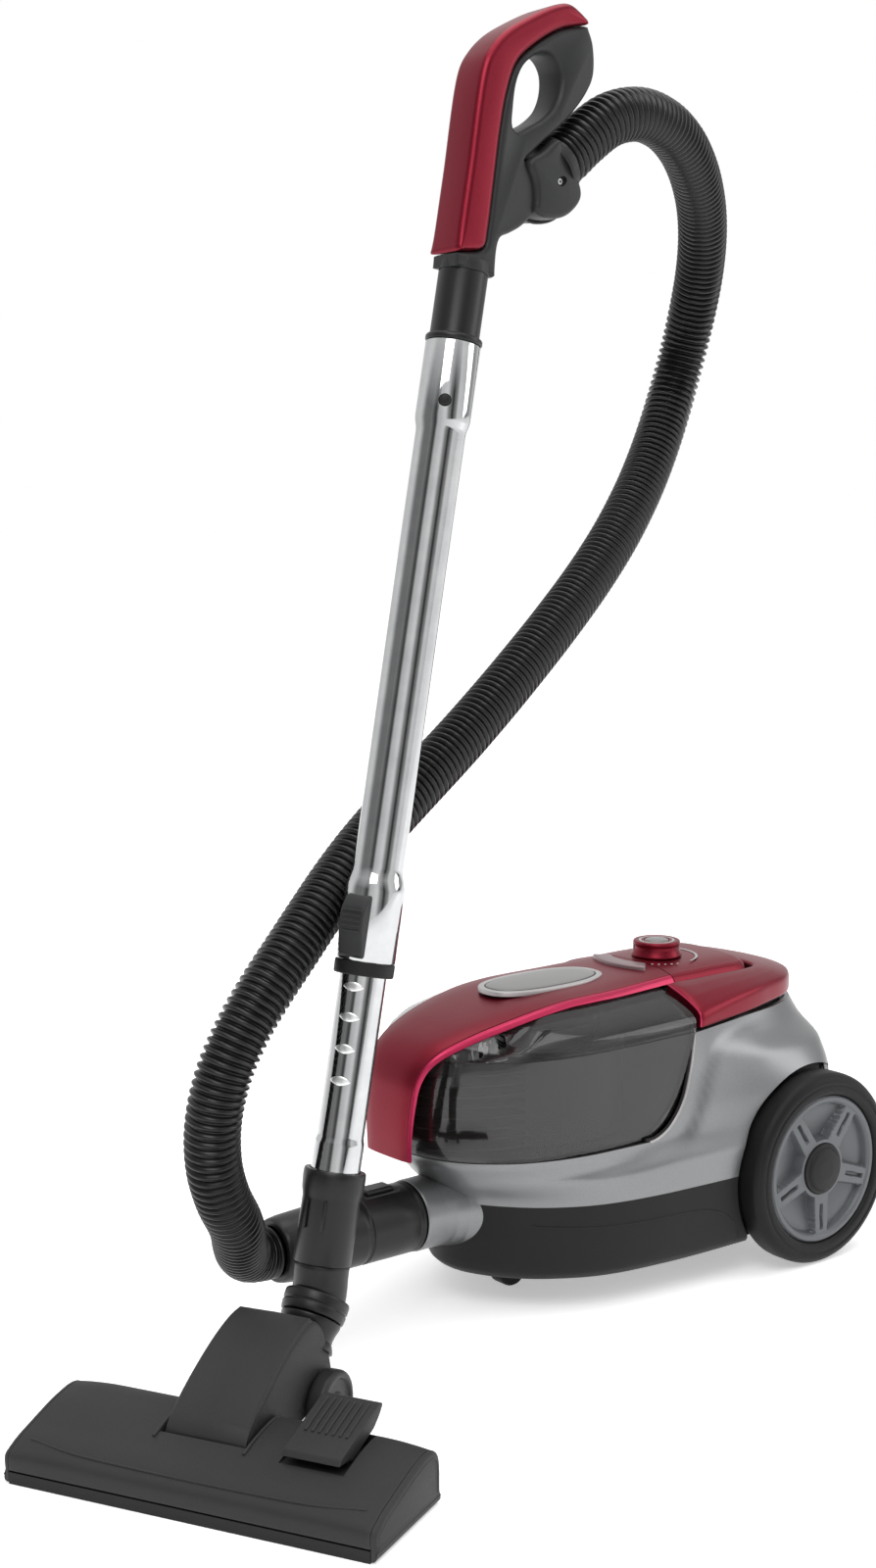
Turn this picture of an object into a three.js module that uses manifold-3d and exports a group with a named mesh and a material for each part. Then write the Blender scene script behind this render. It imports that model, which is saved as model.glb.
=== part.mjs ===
// Canister vacuum cleaner: bagless canister, flexible hose, bent handle, telescopic tube and floor head.
// Millimetres, +Z up. X runs along the canister (its front points to -X), Y across it.
// Working frame: canister centre plane at y = 0, castor near x = 0, floor at z = 0. ORIGIN moves the
// finished group so that the origin lies on the floor under the middle of the object's box.
import * as THREE from 'three';
import { mergeVertices } from 'three/addons/utils/BufferGeometryUtils.js';
import Module from 'manifold-3d';

const wasm = await Module();
wasm.setup();

// ---------------------------------------------------------------- driving dimensions (mm)
const ORIGIN = [89.65, 90.55, 0];          // added to every working coordinate
const GAP = 0.4;                         // running and seating gap between neighbours
const WALL = 3;                          // moulded wall
const BASE_Z = 26, SPLIT_Z = 86, SHELL_TOP = 206;
const WHEEL_R = 79.5, WHEEL_X = 232, WHEEL_IN = 100, WHEEL_OUT = 129, RIM_R = 61;
const CASTOR_R = 13, CASTOR_X = 0, CASTOR_PIVOT = 12;
const PORT = [-102, 0, 78], PORT_R = 28, PORT_BORE = 22.4;
const CUFF_END = -228, HOSE_R = 19.75;
const KNOB_X = 162, KNOB_R = 20, DECK_Z = 246;
const BIN_SEAM = 134;                    // where the bin's cover meets the control deck
const HANDLE_PIVOT = [126.5, 0, 230];  // pins of the fold-up carrying handle
const WAND_AT = [-253, -111, 167];       // top of the elbow's collar, on the tube axis
const WAND_DIR = new THREE.Vector3(0.2226, 0.0513, 0.974).normalize();
const INNER_R = 16.3, OUTER_R = 17.5, OUTER_BORE = 16.8, SOCKET_R = 20.8;
const HEAD_AT = [-431.5, -191, 0];       // middle of the sole's front edge
const HEAD_DIR = Math.atan2(0.4406, 0.8977); // the head's back direction in the floor plane
const HEAD_L = 270, HEAD_D = 94;
const NECK_WHEEL_R = 25;

// ---------------------------------------------------------------- materials
const M = (color, roughness, metalness, extra = {}) => new THREE.MeshStandardMaterial({ color, roughness, metalness, ...extra });
const RED = () => M(0x7a1428, 0.34, 0.35), SILVER = () => M(0x9a9da0, 0.38, 0.55), BLACK = () => M(0x232222, 0.6, 0);
const GREY = () => M(0x3c3c3d, 0.7, 0), SATIN = () => M(0x232325, 0.42, 0), CHROME = () => M(0xd6d8da, 0.07, 1);
const SMOKE = () => M(0x4a4340, 0.12, 0, { transparent: true, opacity: 0.45 }), RUBBER = () => M(0x19191b, 0.85, 0);
const STEEL = () => M(0x9b9ea2, 0.35, 1), RIMG = () => M(0x646769, 0.5, 0.2), LIGHT = () => M(0xb9b7b8, 0.35, 0.4);

// ---------------------------------------------------------------- geometry tools
const V = (x, y, z) => new THREE.Vector3(x, y, z);
function outward(g) {
  const p = g.attributes.position, ix = g.index.array;
  let v = 0;
  for (let i = 0; i < ix.length; i += 3) {
    const a = V().fromBufferAttribute(p, ix[i]), b = V().fromBufferAttribute(p, ix[i + 1]), c = V().fromBufferAttribute(p, ix[i + 2]);
    v += a.dot(b.cross(c));
  }
  if (v < 0) for (let i = 0; i < ix.length; i += 3) [ix[i], ix[i + 1]] = [ix[i + 1], ix[i]];
  g.computeVertexNormals();
  return g;
}
function meshOf(verts, tris) {
  const g = new THREE.BufferGeometry();
  g.setAttribute('position', new THREE.Float32BufferAttribute(verts.flat(), 3));
  g.setIndex(tris.flat());
  return outward(g);
}
function clean(g) {
  const c = g.clone();
  for (const k of Object.keys(c.attributes)) if (k !== 'position') c.deleteAttribute(k);
  return mergeVertices(c, 1e-3);
}
function solid(g) {
  const c = clean(g);
  return new wasm.Manifold(new wasm.Mesh({ numProp: 3, vertProperties: new Float32Array(c.attributes.position.array), triVerts: new Uint32Array(c.index.array) }));
}
function geom(m) {
  const k = m.getMesh(), g = new THREE.BufferGeometry();
  g.setAttribute('position', new THREE.BufferAttribute(new Float32Array(k.vertProperties), 3));
  g.setIndex(new THREE.BufferAttribute(new Uint32Array(k.triVerts), 1));
  g.computeVertexNormals();
  return g;
}
const cut = (a, ...b) => { let m = solid(a); for (const k of b) m = m.subtract(solid(k)); return geom(m); };
const join = (a, ...b) => { let m = solid(a); for (const k of b) m = m.add(solid(k)); return geom(m); };
const both = (a, b) => geom(solid(a).intersect(solid(b)));
// closed skin through rings of equal count, with flat fans at the two ends
function loft(rings) {
  const n = rings[0].length, verts = rings.flat().map((p) => [...p]), tris = [];
  for (let i = 0; i + 1 < rings.length; i++) for (let j = 0; j < n; j++) {
    const a = i * n + j, b = i * n + (j + 1) % n, c = a + n, d = b + n;
    tris.push([a, b, d], [a, d, c]);
  }
  for (const e of [0, rings.length - 1]) {
    const r = rings[e], m = [0, 1, 2].map((k) => r.reduce((s, p) => s + p[k], 0) / n), k = verts.push(m) - 1;
    for (let j = 0; j < n; j++) {
      const a = e * n + j, b = e * n + (j + 1) % n;
      tris.push(e === 0 ? [b, a, k] : [a, b, k]);
    }
  }
  return meshOf(verts, tris);
}
// closed plate of even thickness under a grid of points
function slab(grid, t) {
  const R = grid.length, C = grid[0].length, P = grid.map((r) => r.map((p) => V(...p)));
  const N = P.map((r, i) => r.map((p, j) => {
    const u = P[Math.min(i + 1, R - 1)][j].clone().sub(P[Math.max(i - 1, 0)][j]);
    const w = P[i][Math.min(j + 1, C - 1)].clone().sub(P[i][Math.max(j - 1, 0)]);
    return u.cross(w).normalize();
  }));
  const verts = [...P.flat().map((p) => p.toArray()), ...P.map((r, i) => r.map((p, j) => p.clone().addScaledVector(N[i][j], -t).toArray())).flat()];
  const tris = [], o = R * C, q = (a, b, c, d) => tris.push([a, b, c], [a, c, d]);
  for (let i = 0; i + 1 < R; i++) for (let j = 0; j + 1 < C; j++) {
    const a = i * C + j;
    q(a, a + C, a + C + 1, a + 1);
    q(o + a, o + a + 1, o + a + C + 1, o + a + C);
  }
  for (let j = 0; j + 1 < C; j++) { q(j, j + 1, o + j + 1, o + j); const a = (R - 1) * C + j; q(a, o + a, o + a + 1, a + 1); }
  for (let i = 0; i + 1 < R; i++) { const a = i * C, b = a + C - 1; q(a, o + a, o + a + C, a + C); q(b, b + C, o + b + C, o + b); }
  return meshOf(verts, tris);
}
const box = (x0, x1, y0, y1, z0, z1) => new THREE.BoxGeometry(x1 - x0, y1 - y0, z1 - z0).translate((x0 + x1) / 2, (y0 + y1) / 2, (z0 + z1) / 2);
// turned piece about Z from [r, z] points
const turn = (pts, seg = 24) => {
  const l = pts[0][0] < 1e-6 ? pts : [...pts, pts[0]];
  return clean(new THREE.LatheGeometry(l.map((p) => new THREE.Vector2(p[0], p[1])), seg).rotateX(Math.PI / 2));
};
const fixed = (g) => outward(clean(g));
const ring = (r0, r1, z0, z1, seg = 24) => fixed(turn([[r0, z0], [r1, z0], [r1, z1], [r0, z1]], seg));
const disc = (r, z0, z1, seg = 24) => new THREE.CylinderGeometry(r, r, z1 - z0, seg).rotateX(Math.PI / 2).translate(0, 0, (z0 + z1) / 2);
const alongX = (g) => g.rotateY(Math.PI / 2);          // local z becomes +x
const alongY = (g) => g.rotateX(-Math.PI / 2);         // local z becomes +y
// flat outline in (x, z), given thickness along y
function profile(pts, y0, y1, holes = [], bevel = 0) {
  const s = new THREE.Shape(pts.map((p) => new THREE.Vector2(...p)));
  for (const h of holes) s.holes.push(new THREE.Path(h.map((p) => new THREE.Vector2(...p))));
  const d = y1 - y0 - 2 * bevel;
  const g = new THREE.ExtrudeGeometry(s, { depth: d, bevelEnabled: bevel > 0, bevelSize: bevel, bevelThickness: bevel, bevelOffset: -bevel, bevelSegments: 1, curveSegments: 4, steps: 1 });
  return fixed(g.translate(0, 0, bevel).rotateX(Math.PI / 2).translate(0, y1, 0));
}
// flat outline in (x, y), given height along z
function plate(pts, z0, z1, holes = []) {
  const s = new THREE.Shape(pts.map((p) => new THREE.Vector2(...p)));
  for (const h of holes) s.holes.push(new THREE.Path(h.map((p) => new THREE.Vector2(...p))));
  return fixed(new THREE.ExtrudeGeometry(s, { depth: z1 - z0, bevelEnabled: false, curveSegments: 4, steps: 1 }).translate(0, 0, z0));
}
const arc = (cx, cy, r, a0, a1, n) => Array.from({ length: n + 1 }, (_, i) => { const a = (a0 + (a1 - a0) * i / n) * Math.PI / 180; return [cx + r * Math.cos(a), cy + r * Math.sin(a)]; });
const oval = (cx, cy, a, b, n = 28) => Array.from({ length: n }, (_, i) => [cx + a * Math.cos(i / n * 2 * Math.PI), cy + b * Math.sin(i / n * 2 * Math.PI)]);
// symmetric plan ring from half an outline [x, half width]
function plan(half, z, off = 0) {
  const up = half.map(([x, y]) => [x, y]), n = up.length;
  const full = [...up, ...up.slice(1, n - (up[n - 1][1] === 0 ? 1 : 0)).reverse().map(([x, y]) => [x, -y])];
  if (!off) return full.map(([x, y]) => [x, y, z]);
  const m = full.length;
  let area = 0;
  full.forEach(([x, y], i) => { const [a, b] = full[(i + 1) % m]; area += x * b - a * y; });
  const sgn = area > 0 ? 1 : -1;
  return full.map(([x, y], i) => {
    const [px, py] = full[(i + m - 1) % m], [nx, ny] = full[(i + 1) % m];
    let tx = nx - px, ty = ny - py; const l = Math.hypot(tx, ty); tx /= l; ty /= l;
    return [x + sgn * off * ty, y - sgn * off * tx, z];
  });
}

const root = new THREE.Group();
root.name = 'canister_vacuum_cleaner';
root.position.set(...ORIGIN);
const put = (parent, name, g, material) => { const m = new THREE.Mesh(g, material); m.name = name; parent.add(m); return m; };

// ================================================================ canister
const canister = new THREE.Group();
root.add(canister);
const H = {
  26: [[-58, 0], [-57, 11], [-52, 24], [-44, 38], [-27, 58], [-10, 71], [13, 84], [38, 92], [70, 97], [99, 100], [150, 102], [200, 102], [236, 98], [258, 88], [271, 69], [276, 37], [277, 0]],
  34: [[-66, 0], [-64, 14], [-58, 28], [-49, 42], [-30, 63], [-13, 77], [11, 90], [37, 98], [70, 103], [99, 106], [150, 109], [200, 109], [238, 105], [261, 94], [275, 74], [281, 40], [282, 0]],
  86: [[-68, 0], [-66, 14], [-60, 28], [-51, 42], [-32, 63], [-14, 77], [10, 90], [36, 98], [70, 104], [99, 107], [150, 111], [200, 112], [240, 108], [264, 97], [278, 75], [284, 40], [285, 0]],
  108: [[-86, 0], [-83, 17], [-76, 33], [-66, 48], [-45, 68], [-26, 80], [3, 91], [36, 97], [70, 103], [99, 107], [150, 112], [200, 115], [240, 112], [266, 99], [281, 76], [288, 40], [289, 0]],
  127: [[-100, 0], [-97, 20], [-89, 38], [-76, 55], [-54, 73], [-30, 84], [2, 92], [36, 95], [70, 97], [99, 100], [150, 108], [200, 114], [240, 112], [267, 100], [283, 77], [290, 40], [291, 0]],
  150: [[-100, 0], [-97, 20], [-89, 38], [-76, 55], [-54, 73], [-30, 84], [2, 92], [36, 95], [70, 96], [99, 98], [150, 104], [200, 112], [240, 111], [267, 99], [284, 76], [291, 40], [292, 0]],
  175: [[-100, 0], [-97, 20], [-89, 38], [-76, 55], [-54, 73], [-30, 84], [2, 92], [36, 95], [70, 96], [99, 96], [150, 97], [200, 101], [240, 98], [266, 88], [283, 69], [291, 37], [292, 0]],
  195: [[-100, 0], [-97, 20], [-89, 38], [-76, 55], [-54, 73], [-30, 84], [2, 92], [36, 95], [70, 95], [99, 95], [150, 90], [190, 83], [232, 76], [262, 64], [280, 47], [289, 25], [290, 0]],
  206: [[-100, 0], [-97, 20], [-89, 38], [-76, 55], [-54, 73], [-30, 84], [2, 92], [36, 94], [70, 94], [99, 94], [150, 86], [190, 78], [232, 69], [262, 56], [279, 38], [287, 18], [288, 0]],
};
const arches = (s) => alongY(disc(WHEEL_R + 4.5, 92.5, 160, 32)).scale(1, s, 1).translate(WHEEL_X, 0, WHEEL_R);
const archL = outward(clean(arches(1))), archR = outward(clean(alongY(disc(WHEEL_R + 4.5, -160, -92.5, 32)).translate(WHEEL_X, 0, WHEEL_R)));
const portHole = alongX(disc(PORT_R + GAP, PORT[0] - 20, -46, 28)).translate(0, 0, PORT[2]);

// base pan, with the castor's pocket and boss
{
  const outer = loft([plan(H[26], BASE_Z), plan(H[34], 34), plan(H[86], SPLIT_Z)]);
  const inner = loft([plan(H[26], BASE_Z + WALL, -WALL), plan(H[34], 37, -WALL), plan(H[86], SPLIT_Z + 5, -WALL)]);
  const boss = disc(27, BASE_Z + 0.2, 46, 24).translate(CASTOR_PIVOT, 0, 0);
  const pocket = disc(24, BASE_Z - 5, 35, 24).translate(CASTOR_PIVOT, 0, 0);
  const pinHole = disc(3.6, 30, 42, 12).translate(CASTOR_PIVOT, 0, 0);
  let g = cut(outer, inner, archL, archR);
  g = cut(join(g, boss), pocket, pinHole);
  // wheel arch liners stand on the pan and fill the arches' openings
  const liner = (y0, y1) => both(alongY(disc(WHEEL_R + 4.1, y0, y1, 32)).translate(WHEEL_X, 0, WHEEL_R), box(120, 256, -100, 100, BASE_Z, 170));
  g = join(g, liner(90, 92.9), liner(-92.9, -90));
  put(canister, 'base_pan', cut(g, portHole), BLACK());
}
// silver upper shell: collar under the bin at the front, full body at the rear
const binWedge = profile([[-220, 127.4], [68, 127.4], [76, 130], [94, 145], [107, 174], [118.6, 215], [-220, 215]], -150, 150);
{
  const zs = [86, 108, 127, 150, 175, 195, 206];
  const outer = loft(zs.map((z) => plan(H[z], z === 86 ? SPLIT_Z + GAP : z)));
  const inner = loft(zs.map((z) => plan(H[z], z === 86 ? SPLIT_Z - 3 : z === 206 ? SHELL_TOP + 3 : z, z > 190 ? -5 : -WALL)));
  const grille = box(270, 310, -42, 42, 118, 184);
  const outlet = alongX(disc(9.4, 262, 310, 16)).translate(0, 58, 104);
  put(canister, 'upper_shell', cut(outer, inner, binWedge, archL, archR, portHole, grille, outlet), SILVER());
}
// floor under the bin and slanted bulkhead behind it
{
  const half = [[-92, 0], [-89, 18], [-81, 35], [-68, 51], [-48, 68], [-25, 79], [4, 87], [36, 90], [62, 91]];
  const floor = loft([plan(half, 121), plan(half, 126)]);
  const wall = profile([[58, 121.2], [70, 121.2], [78, 126], [97, 144], [110.5, 174], [121.5, 199], [117.5, 199], [106, 174], [92.6, 146], [74, 131], [66, 126.4], [58, 126]], -84.5, 84.5);
  const inlet = alongX(disc(26, 60, 140, 20)).translate(0, 0, 166);
  const duct = disc(13, 110, 135, 20).translate(-62, 0, 0);
  put(canister, 'bin_cradle', cut(join(floor, wall), inlet, duct), BLACK());
}
// black frame that closes the rear body and carries the control deck
{
  const half = [[122.5, 84.8], [150, 80.2], [190, 72.2], [231, 63.2], [258, 50], [273, 34], [281, 16], [282, 0]];
  const ringUp = half.map(([x, y]) => [x, y]), low = [...ringUp, ...ringUp.slice(0, -1).reverse().map(([x, y]) => [x, -y])];
  const base = plate(low, 199.4, 207.4);
  const block = plate([[122.5, -47], [214, -47], [221, -40], [221, 40], [214, 47], [122.5, 47]], 205, 231.4);
  const hollow = plate([[128, -42], [214, -42], [214, 42], [128, 42]], 190, 229);
  const pins = alongY(disc(2.9, -61, 61, 12)).translate(HANDLE_PIVOT[0], 0, HANDLE_PIVOT[2]);
  put(canister, 'top_frame', cut(join(base, block), hollow), BLACK());
  canister.children.at(-1).geometry = join(canister.children.at(-1).geometry, pins);
}
// control deck with the dial's seat
{
  const xs = [BIN_SEAM + GAP, 160, 190, 212, 221, 225.5], w = [50, 50, 50, 49, 46.5, 43];
  const rows = xs.map((x, i) => [-1, -0.93, -0.8, -0.4, 0, 0.4, 0.8, 0.93, 1].map((f) => [x, f * w[i], DECK_Z - (Math.abs(f) > 0.99 ? 10 : Math.abs(f) > 0.9 ? 3.4 : Math.abs(f) > 0.7 ? 1.2 : 0) - (i === 5 ? 3.5 : i === 4 ? 1 : 0)]));
  const g = slab(rows, WALL);
  put(canister, 'control_deck', cut(g, disc(6.4, 230, 260, 20).translate(KNOB_X, 0, 0)), RED());
}
// fold-up carrying handle: a wide U around the deck, with its pivot pins
const handleStations = [
  // x, half inner, half outer, z inner top, z outer top, z bottom
  [121.8, 53.5, 93, 236.2, 218, 208.6], [123.6, 53.5, 93.2, 237.8, 219.4, 208.6], [150, 53.5, 90, 238, 224, 209.8], [187, 53.5, 85, 238, 228, 211.6], [212, 52.5, 79.5, 237.6, 229.2, 213],
];
{
  const sec = (xi, yi, xo, yo, zi, zo, zb, s) => [[xi, s * yi, zi - 1.6], [xi + (xo - xi) * 0.06, s * (yi + (yo - yi) * 0.06), zi], [xi + (xo - xi) * 0.6, s * (yi + (yo - yi) * 0.6), zi - (zi - zo) * 0.42], [xi + (xo - xi) * 0.93, s * (yi + (yo - yi) * 0.93), zo + 0.6], [xo, s * yo, zo - 3], [xo, s * yo, zb], [xo - (xo - xi) * 0.2, s * (yo - (yo - yi) * 0.2), zb], [xi, s * yi, 227]];
  const arm = (s) => handleStations.map(([x, yi, yo, zi, zo, zb]) => sec(x, yi, x, yo, zi, zo, zb, s));
  const turnIn = [[226.5, 47.8], [231.5, 38], [233, 20], [233.2, 0]], turnOut = [[247, 68], [271, 47], [283, 23], [286, 0]];
  const rear = (s) => turnIn.map(([xi, yi], k) => sec(xi, yi, turnOut[k][0], turnOut[k][1], 237.2, [229.4, 229, 228.6, 228.4][k], 214 + k * 0.6, s));
  const left = [...arm(1), ...rear(1)], right = [...arm(-1), ...rear(-1)].reverse().slice(1);
  const pin = (s) => alongY(disc(3.3, s > 0 ? 50 : -62, s > 0 ? 62 : -50, 12)).translate(HANDLE_PIVOT[0], 0, HANDLE_PIVOT[2]);
  put(canister, 'carry_handle', cut(loft([...left, ...right]), pin(1), pin(-1)), RED());
}
// dial with its push button
put(canister, 'power_knob', fixed(turn([[0, DECK_Z + 10.3], [10.4, DECK_Z + 10.3], [10.4, DECK_Z + 13.4], [18, DECK_Z + 13.4], [19.6, DECK_Z + 12], [19, DECK_Z + 8], [KNOB_R - 0.6, DECK_Z + 3], [KNOB_R + 0.8, DECK_Z + GAP + 0.2], [6, DECK_Z + GAP + 0.2], [6, 236], [0, 236]], 20)).translate(KNOB_X, 0, 0), RED());
put(canister, 'power_button', disc(10, DECK_Z + 12.5, DECK_Z + 14.6, 24).translate(KNOB_X, 0, 0), LIGHT());

// dust bin: clear cup, clear hood, red cover, badge and release button
const B = {
  128: [[-108, 0], [-105, 20], [-96, 38], [-82, 54], [-60, 72], [-34, 83.5], [2, 90.5], [38, 93], [64, 93]],
  145: [[-115, 0], [-112, 21], [-103, 40], [-88, 56], [-65, 74], [-37, 85], [2, 91.5], [40, 93.6], [90, 93.6]],
  174: [[-115, 0], [-112, 21], [-103, 40], [-88, 56], [-65, 74], [-37, 85], [2, 92], [45, 94], [103, 94]],
  207: [[-110, 0], [-107, 21], [-98, 40], [-84, 56], [-62, 73], [-35, 85], [2, 92], [50, 94], [115, 93.4]],
  216: [[-106, 0], [-103, 20], [-94, 38], [-80, 54], [-59, 70], [-33, 82], [2, 89], [50, 91.5], [117, 91.5]],
  225: [[-90, 0], [-87, 17], [-79, 31], [-66, 43], [-48, 54], [-26, 64], [2, 70], [50, 71], [117, 70]],
  231.5: [[-60, 0], [-58, 13], [-53, 23], [-46, 31], [-34, 37], [-18, 41], [2, 43], [50, 44], [117, 42]],
};
{
  const zs = [128, 145, 174, 207];
  const cup = loft(zs.map((z) => plan(B[z], z))), inn = loft(zs.map((z) => plan(B[z], z === 128 ? 131 : z === 207 ? 212 : z, -2.5)));
  put(canister, 'bin_cup', cut(cup, inn, disc(12, 120, 140, 20).translate(-62, 0, 0), alongX(disc(24, 80, 140, 20)).translate(0, 0, 166)), SMOKE());
  const zl = [207, 216, 225, 231.5];
  const lid = loft(zl.map((z) => plan(B[z], z === 207 ? 207 + GAP : z))), lin = loft(zl.map((z) => plan(B[z], z === 207 ? 202 : z - 2.5, -2.5)));
  put(canister, 'bin_lid', cut(lid, lin), SMOKE());
}
const SPINE = [ // x, z of the centre line; half width; edge drop
  [-131, 130, 21, 3], [-132, 145, 24, 4], [-129, 170, 27, 5], [-124, 192, 30, 6], [-118, 208, 33, 7], [-107, 221, 36, 8], [-90, 231, 40, 8], [-62, 238.5, 46, 8], [-25, 242, 52, 8], [20, 243, 55, 8], [70, 243.6, 54, 8.5], [110, 245, 51, 9.5], [BIN_SEAM, 246, 50, 10],
];
const spineRows = SPINE.map(([x, z, w, d], i) => {
  const a = SPINE[Math.max(i - 1, 0)], b = SPINE[Math.min(i + 1, SPINE.length - 1)];
  const l = Math.hypot(b[0] - a[0], b[1] - a[1]), nx = -(b[1] - a[1]) / l, nz = (b[0] - a[0]) / l;
  return [-1, -0.93, -0.75, -0.4, 0, 0.4, 0.75, 0.93, 1].map((f) => {
    const k = Math.abs(f) > 0.99 ? d : Math.abs(f) > 0.9 ? d * 0.42 : Math.abs(f) > 0.7 ? d * 0.16 : 0;
    return [x - nx * k, f * w, z - nz * k];
  });
});
const crescent = (grow) => [...arc(KNOB_X, 0, 53 + grow, 180 - 37 - grow * 1.1, 180 + 37 + grow * 1.1, 10), ...arc(KNOB_X, 0, 38 - grow, 180 + 34 + grow * 1.1, 180 - 34 - grow * 1.1, 8)];
{
  const g = slab(spineRows, WALL);
  put(canister, 'bin_cover', cut(g, plate(oval(34, 0, 58.4, 29.4), 241.9, 260), plate(crescent(GAP), 230, 260)), RED());
  put(canister, 'bin_badge', plate(oval(34, 0, 58, 29), 242.2, 244.8), LIGHT());
  put(canister, 'release_button', plate(crescent(0), 240.6, 248.4), LIGHT());
}
// what the bin holds
{
  const cone = fixed(turn([[0, 132], [19, 132], [19, 134], [18, 137], [38, 196], [44, 205], [44, 215], [0, 215]], 20)).translate(38, 0, 0);
  put(canister, 'cyclone_body', cut(cone, fixed(turn([[0, 140], [17, 140], [33, 196], [38, 220], [0, 220]], 20)).translate(38, 0, 0)), GREY());
  let g = solid(box(-64, -58, -30, 30, 140, 205));
  for (let i = 0; i < 8; i++) g = g.add(solid(plate([[-104, -8], [-98, -28], [-80, -46], [-59, -52], [-59, 52], [-80, 46], [-98, 28], [-104, 8]], 141 + i * 8, 143 + i * 8)));
  put(canister, 'cyclone_louvre', geom(g), GREY());
}
// inlet duct from the hose port up to the bin
{
  const path = new THREE.CatmullRomCurve3([V(-60.5, 0, 78), V(-52, 0, 79), V(-43, 0, 84), V(-40, 0, 95), V(-47, 0, 106), V(-57, 0, 113), V(-62, 0, 120)].map((p) => p), false);
  const sh = new THREE.Shape(oval(0, 0, 17, 17, 10).map((p) => new THREE.Vector2(...p)));
  sh.holes.push(new THREE.Path(oval(0, 0, 14.5, 14.5, 10).reverse().map((p) => new THREE.Vector2(...p))));
  const duct = fixed(new THREE.ExtrudeGeometry(sh, { steps: 7, extrudePath: path, curveSegments: 1 }));
  put(canister, 'inlet_duct', both(duct, box(-60, 0, -40, 40, 40, 120.5)), BLACK());
}
put(canister, 'hose_port', fixed(turn([[PORT_BORE, -62], [PORT_R, -62], [PORT_R, PORT[0] + 1.5], [PORT_R - 1.2, PORT[0]], [26.4, PORT[0]], [26.4, PORT[0] + 3.4], [PORT_BORE, PORT[0] + 3.4]].reverse(), 20)).rotateY(Math.PI / 2).translate(0, 0, PORT[2]), SILVER());
put(canister, 'port_seal', ring(22.6, 26, PORT[0] - 0.6, PORT[0] + 3, 20).rotateY(Math.PI / 2).translate(0, 0, PORT[2]), RUBBER());
// cuff on the hose's canister end, with its two snap buttons
{
  const g = fixed(turn([[19, CUFF_END], [23.5, CUFF_END], [25.5, CUFF_END + 6], [26.6, CUFF_END + 40], [27.2, PORT[0] - 22], [27.2, PORT[0] - 1.2], [21.6, PORT[0] - 1.2], [21.6, -66], [18, -66], [18, CUFF_END + 8]], 20)).rotateY(Math.PI / 2).translate(0, 0, PORT[2]);
  const seat = box(-146, -120, -7.4, 7.4, PORT[2] + 20, PORT[2] + 40);
  put(canister, 'hose_cuff', cut(g, seat), SATIN());
  put(canister, 'cuff_button', cut(box(-145.6, -120.4, -7, 7, PORT[2] + 22.6, PORT[2] + 30.5), alongX(disc(18.5, -160, -100, 20)).translate(0, 0, PORT[2])), SATIN());
}
// castor
put(canister, 'castor_fork', join(disc(21, 28.6, 32.6, 24).translate(CASTOR_PIVOT, 0, 0), profile([[-6, 9], [6, 9], [12, 29], [-6, 29]], 9, 11.8), profile([[-6, 9], [6, 9], [12, 29], [-6, 29]], -11.8, -9), disc(3.1, 32, 41, 12).translate(CASTOR_PIVOT, 0, 0), alongY(disc(1.9, -9.6, 9.6, 12)).translate(CASTOR_X, 0, CASTOR_R)), BLACK());
put(canister, 'castor_wheel', alongY(fixed(turn([[2.3, -8.4], [12, -8.4], [CASTOR_R, -6.5], [CASTOR_R, 6.5], [12, 8.4], [2.3, 8.4]], 24))).translate(CASTOR_X, 0, CASTOR_R), RUBBER());
// rear wheels
for (const [n, s] of [['left', -1], ['right', 1]]) {
  const at = (g) => (s > 0 ? alongY(g) : alongY(g).rotateZ(Math.PI)).translate(WHEEL_X, 0, WHEEL_R);
  put(canister, `tyre_${n}`, at(fixed(turn([[RIM_R + 0.5, WHEEL_IN], [72, WHEEL_IN - 0.5], [77.5, WHEEL_IN + 2], [WHEEL_R, WHEEL_IN + 7], [WHEEL_R, WHEEL_OUT - 9], [77.8, WHEEL_OUT - 3], [73, WHEEL_OUT], [RIM_R + 0.5, WHEEL_OUT]], 32))), RUBBER());
  put(canister, `rim_${n}`, at(fixed(turn([[5.3, WHEEL_IN + 1], [20, WHEEL_IN + 1], [22, WHEEL_IN + 12], [54, WHEEL_IN + 12], [57, WHEEL_IN + 3], [RIM_R, WHEEL_IN + 3], [RIM_R, WHEEL_OUT - 2.6], [53, WHEEL_OUT - 7], [22, WHEEL_OUT - 6], [5.3, WHEEL_OUT - 6]], 24))), RIMG());
  put(canister, `hub_cap_${n}`, at(fixed(turn([[0, WHEEL_OUT - 5.6], [21.2, WHEEL_OUT - 5.6], [21.2, WHEEL_OUT - 0.6], [17, WHEEL_OUT + 1.2], [0, WHEEL_OUT + 2]], 20))), BLACK());
  put(canister, `wheel_axle_${n}`, at(disc(5, 93.3, WHEEL_OUT - 6.4, 16)), STEEL());
}
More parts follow.
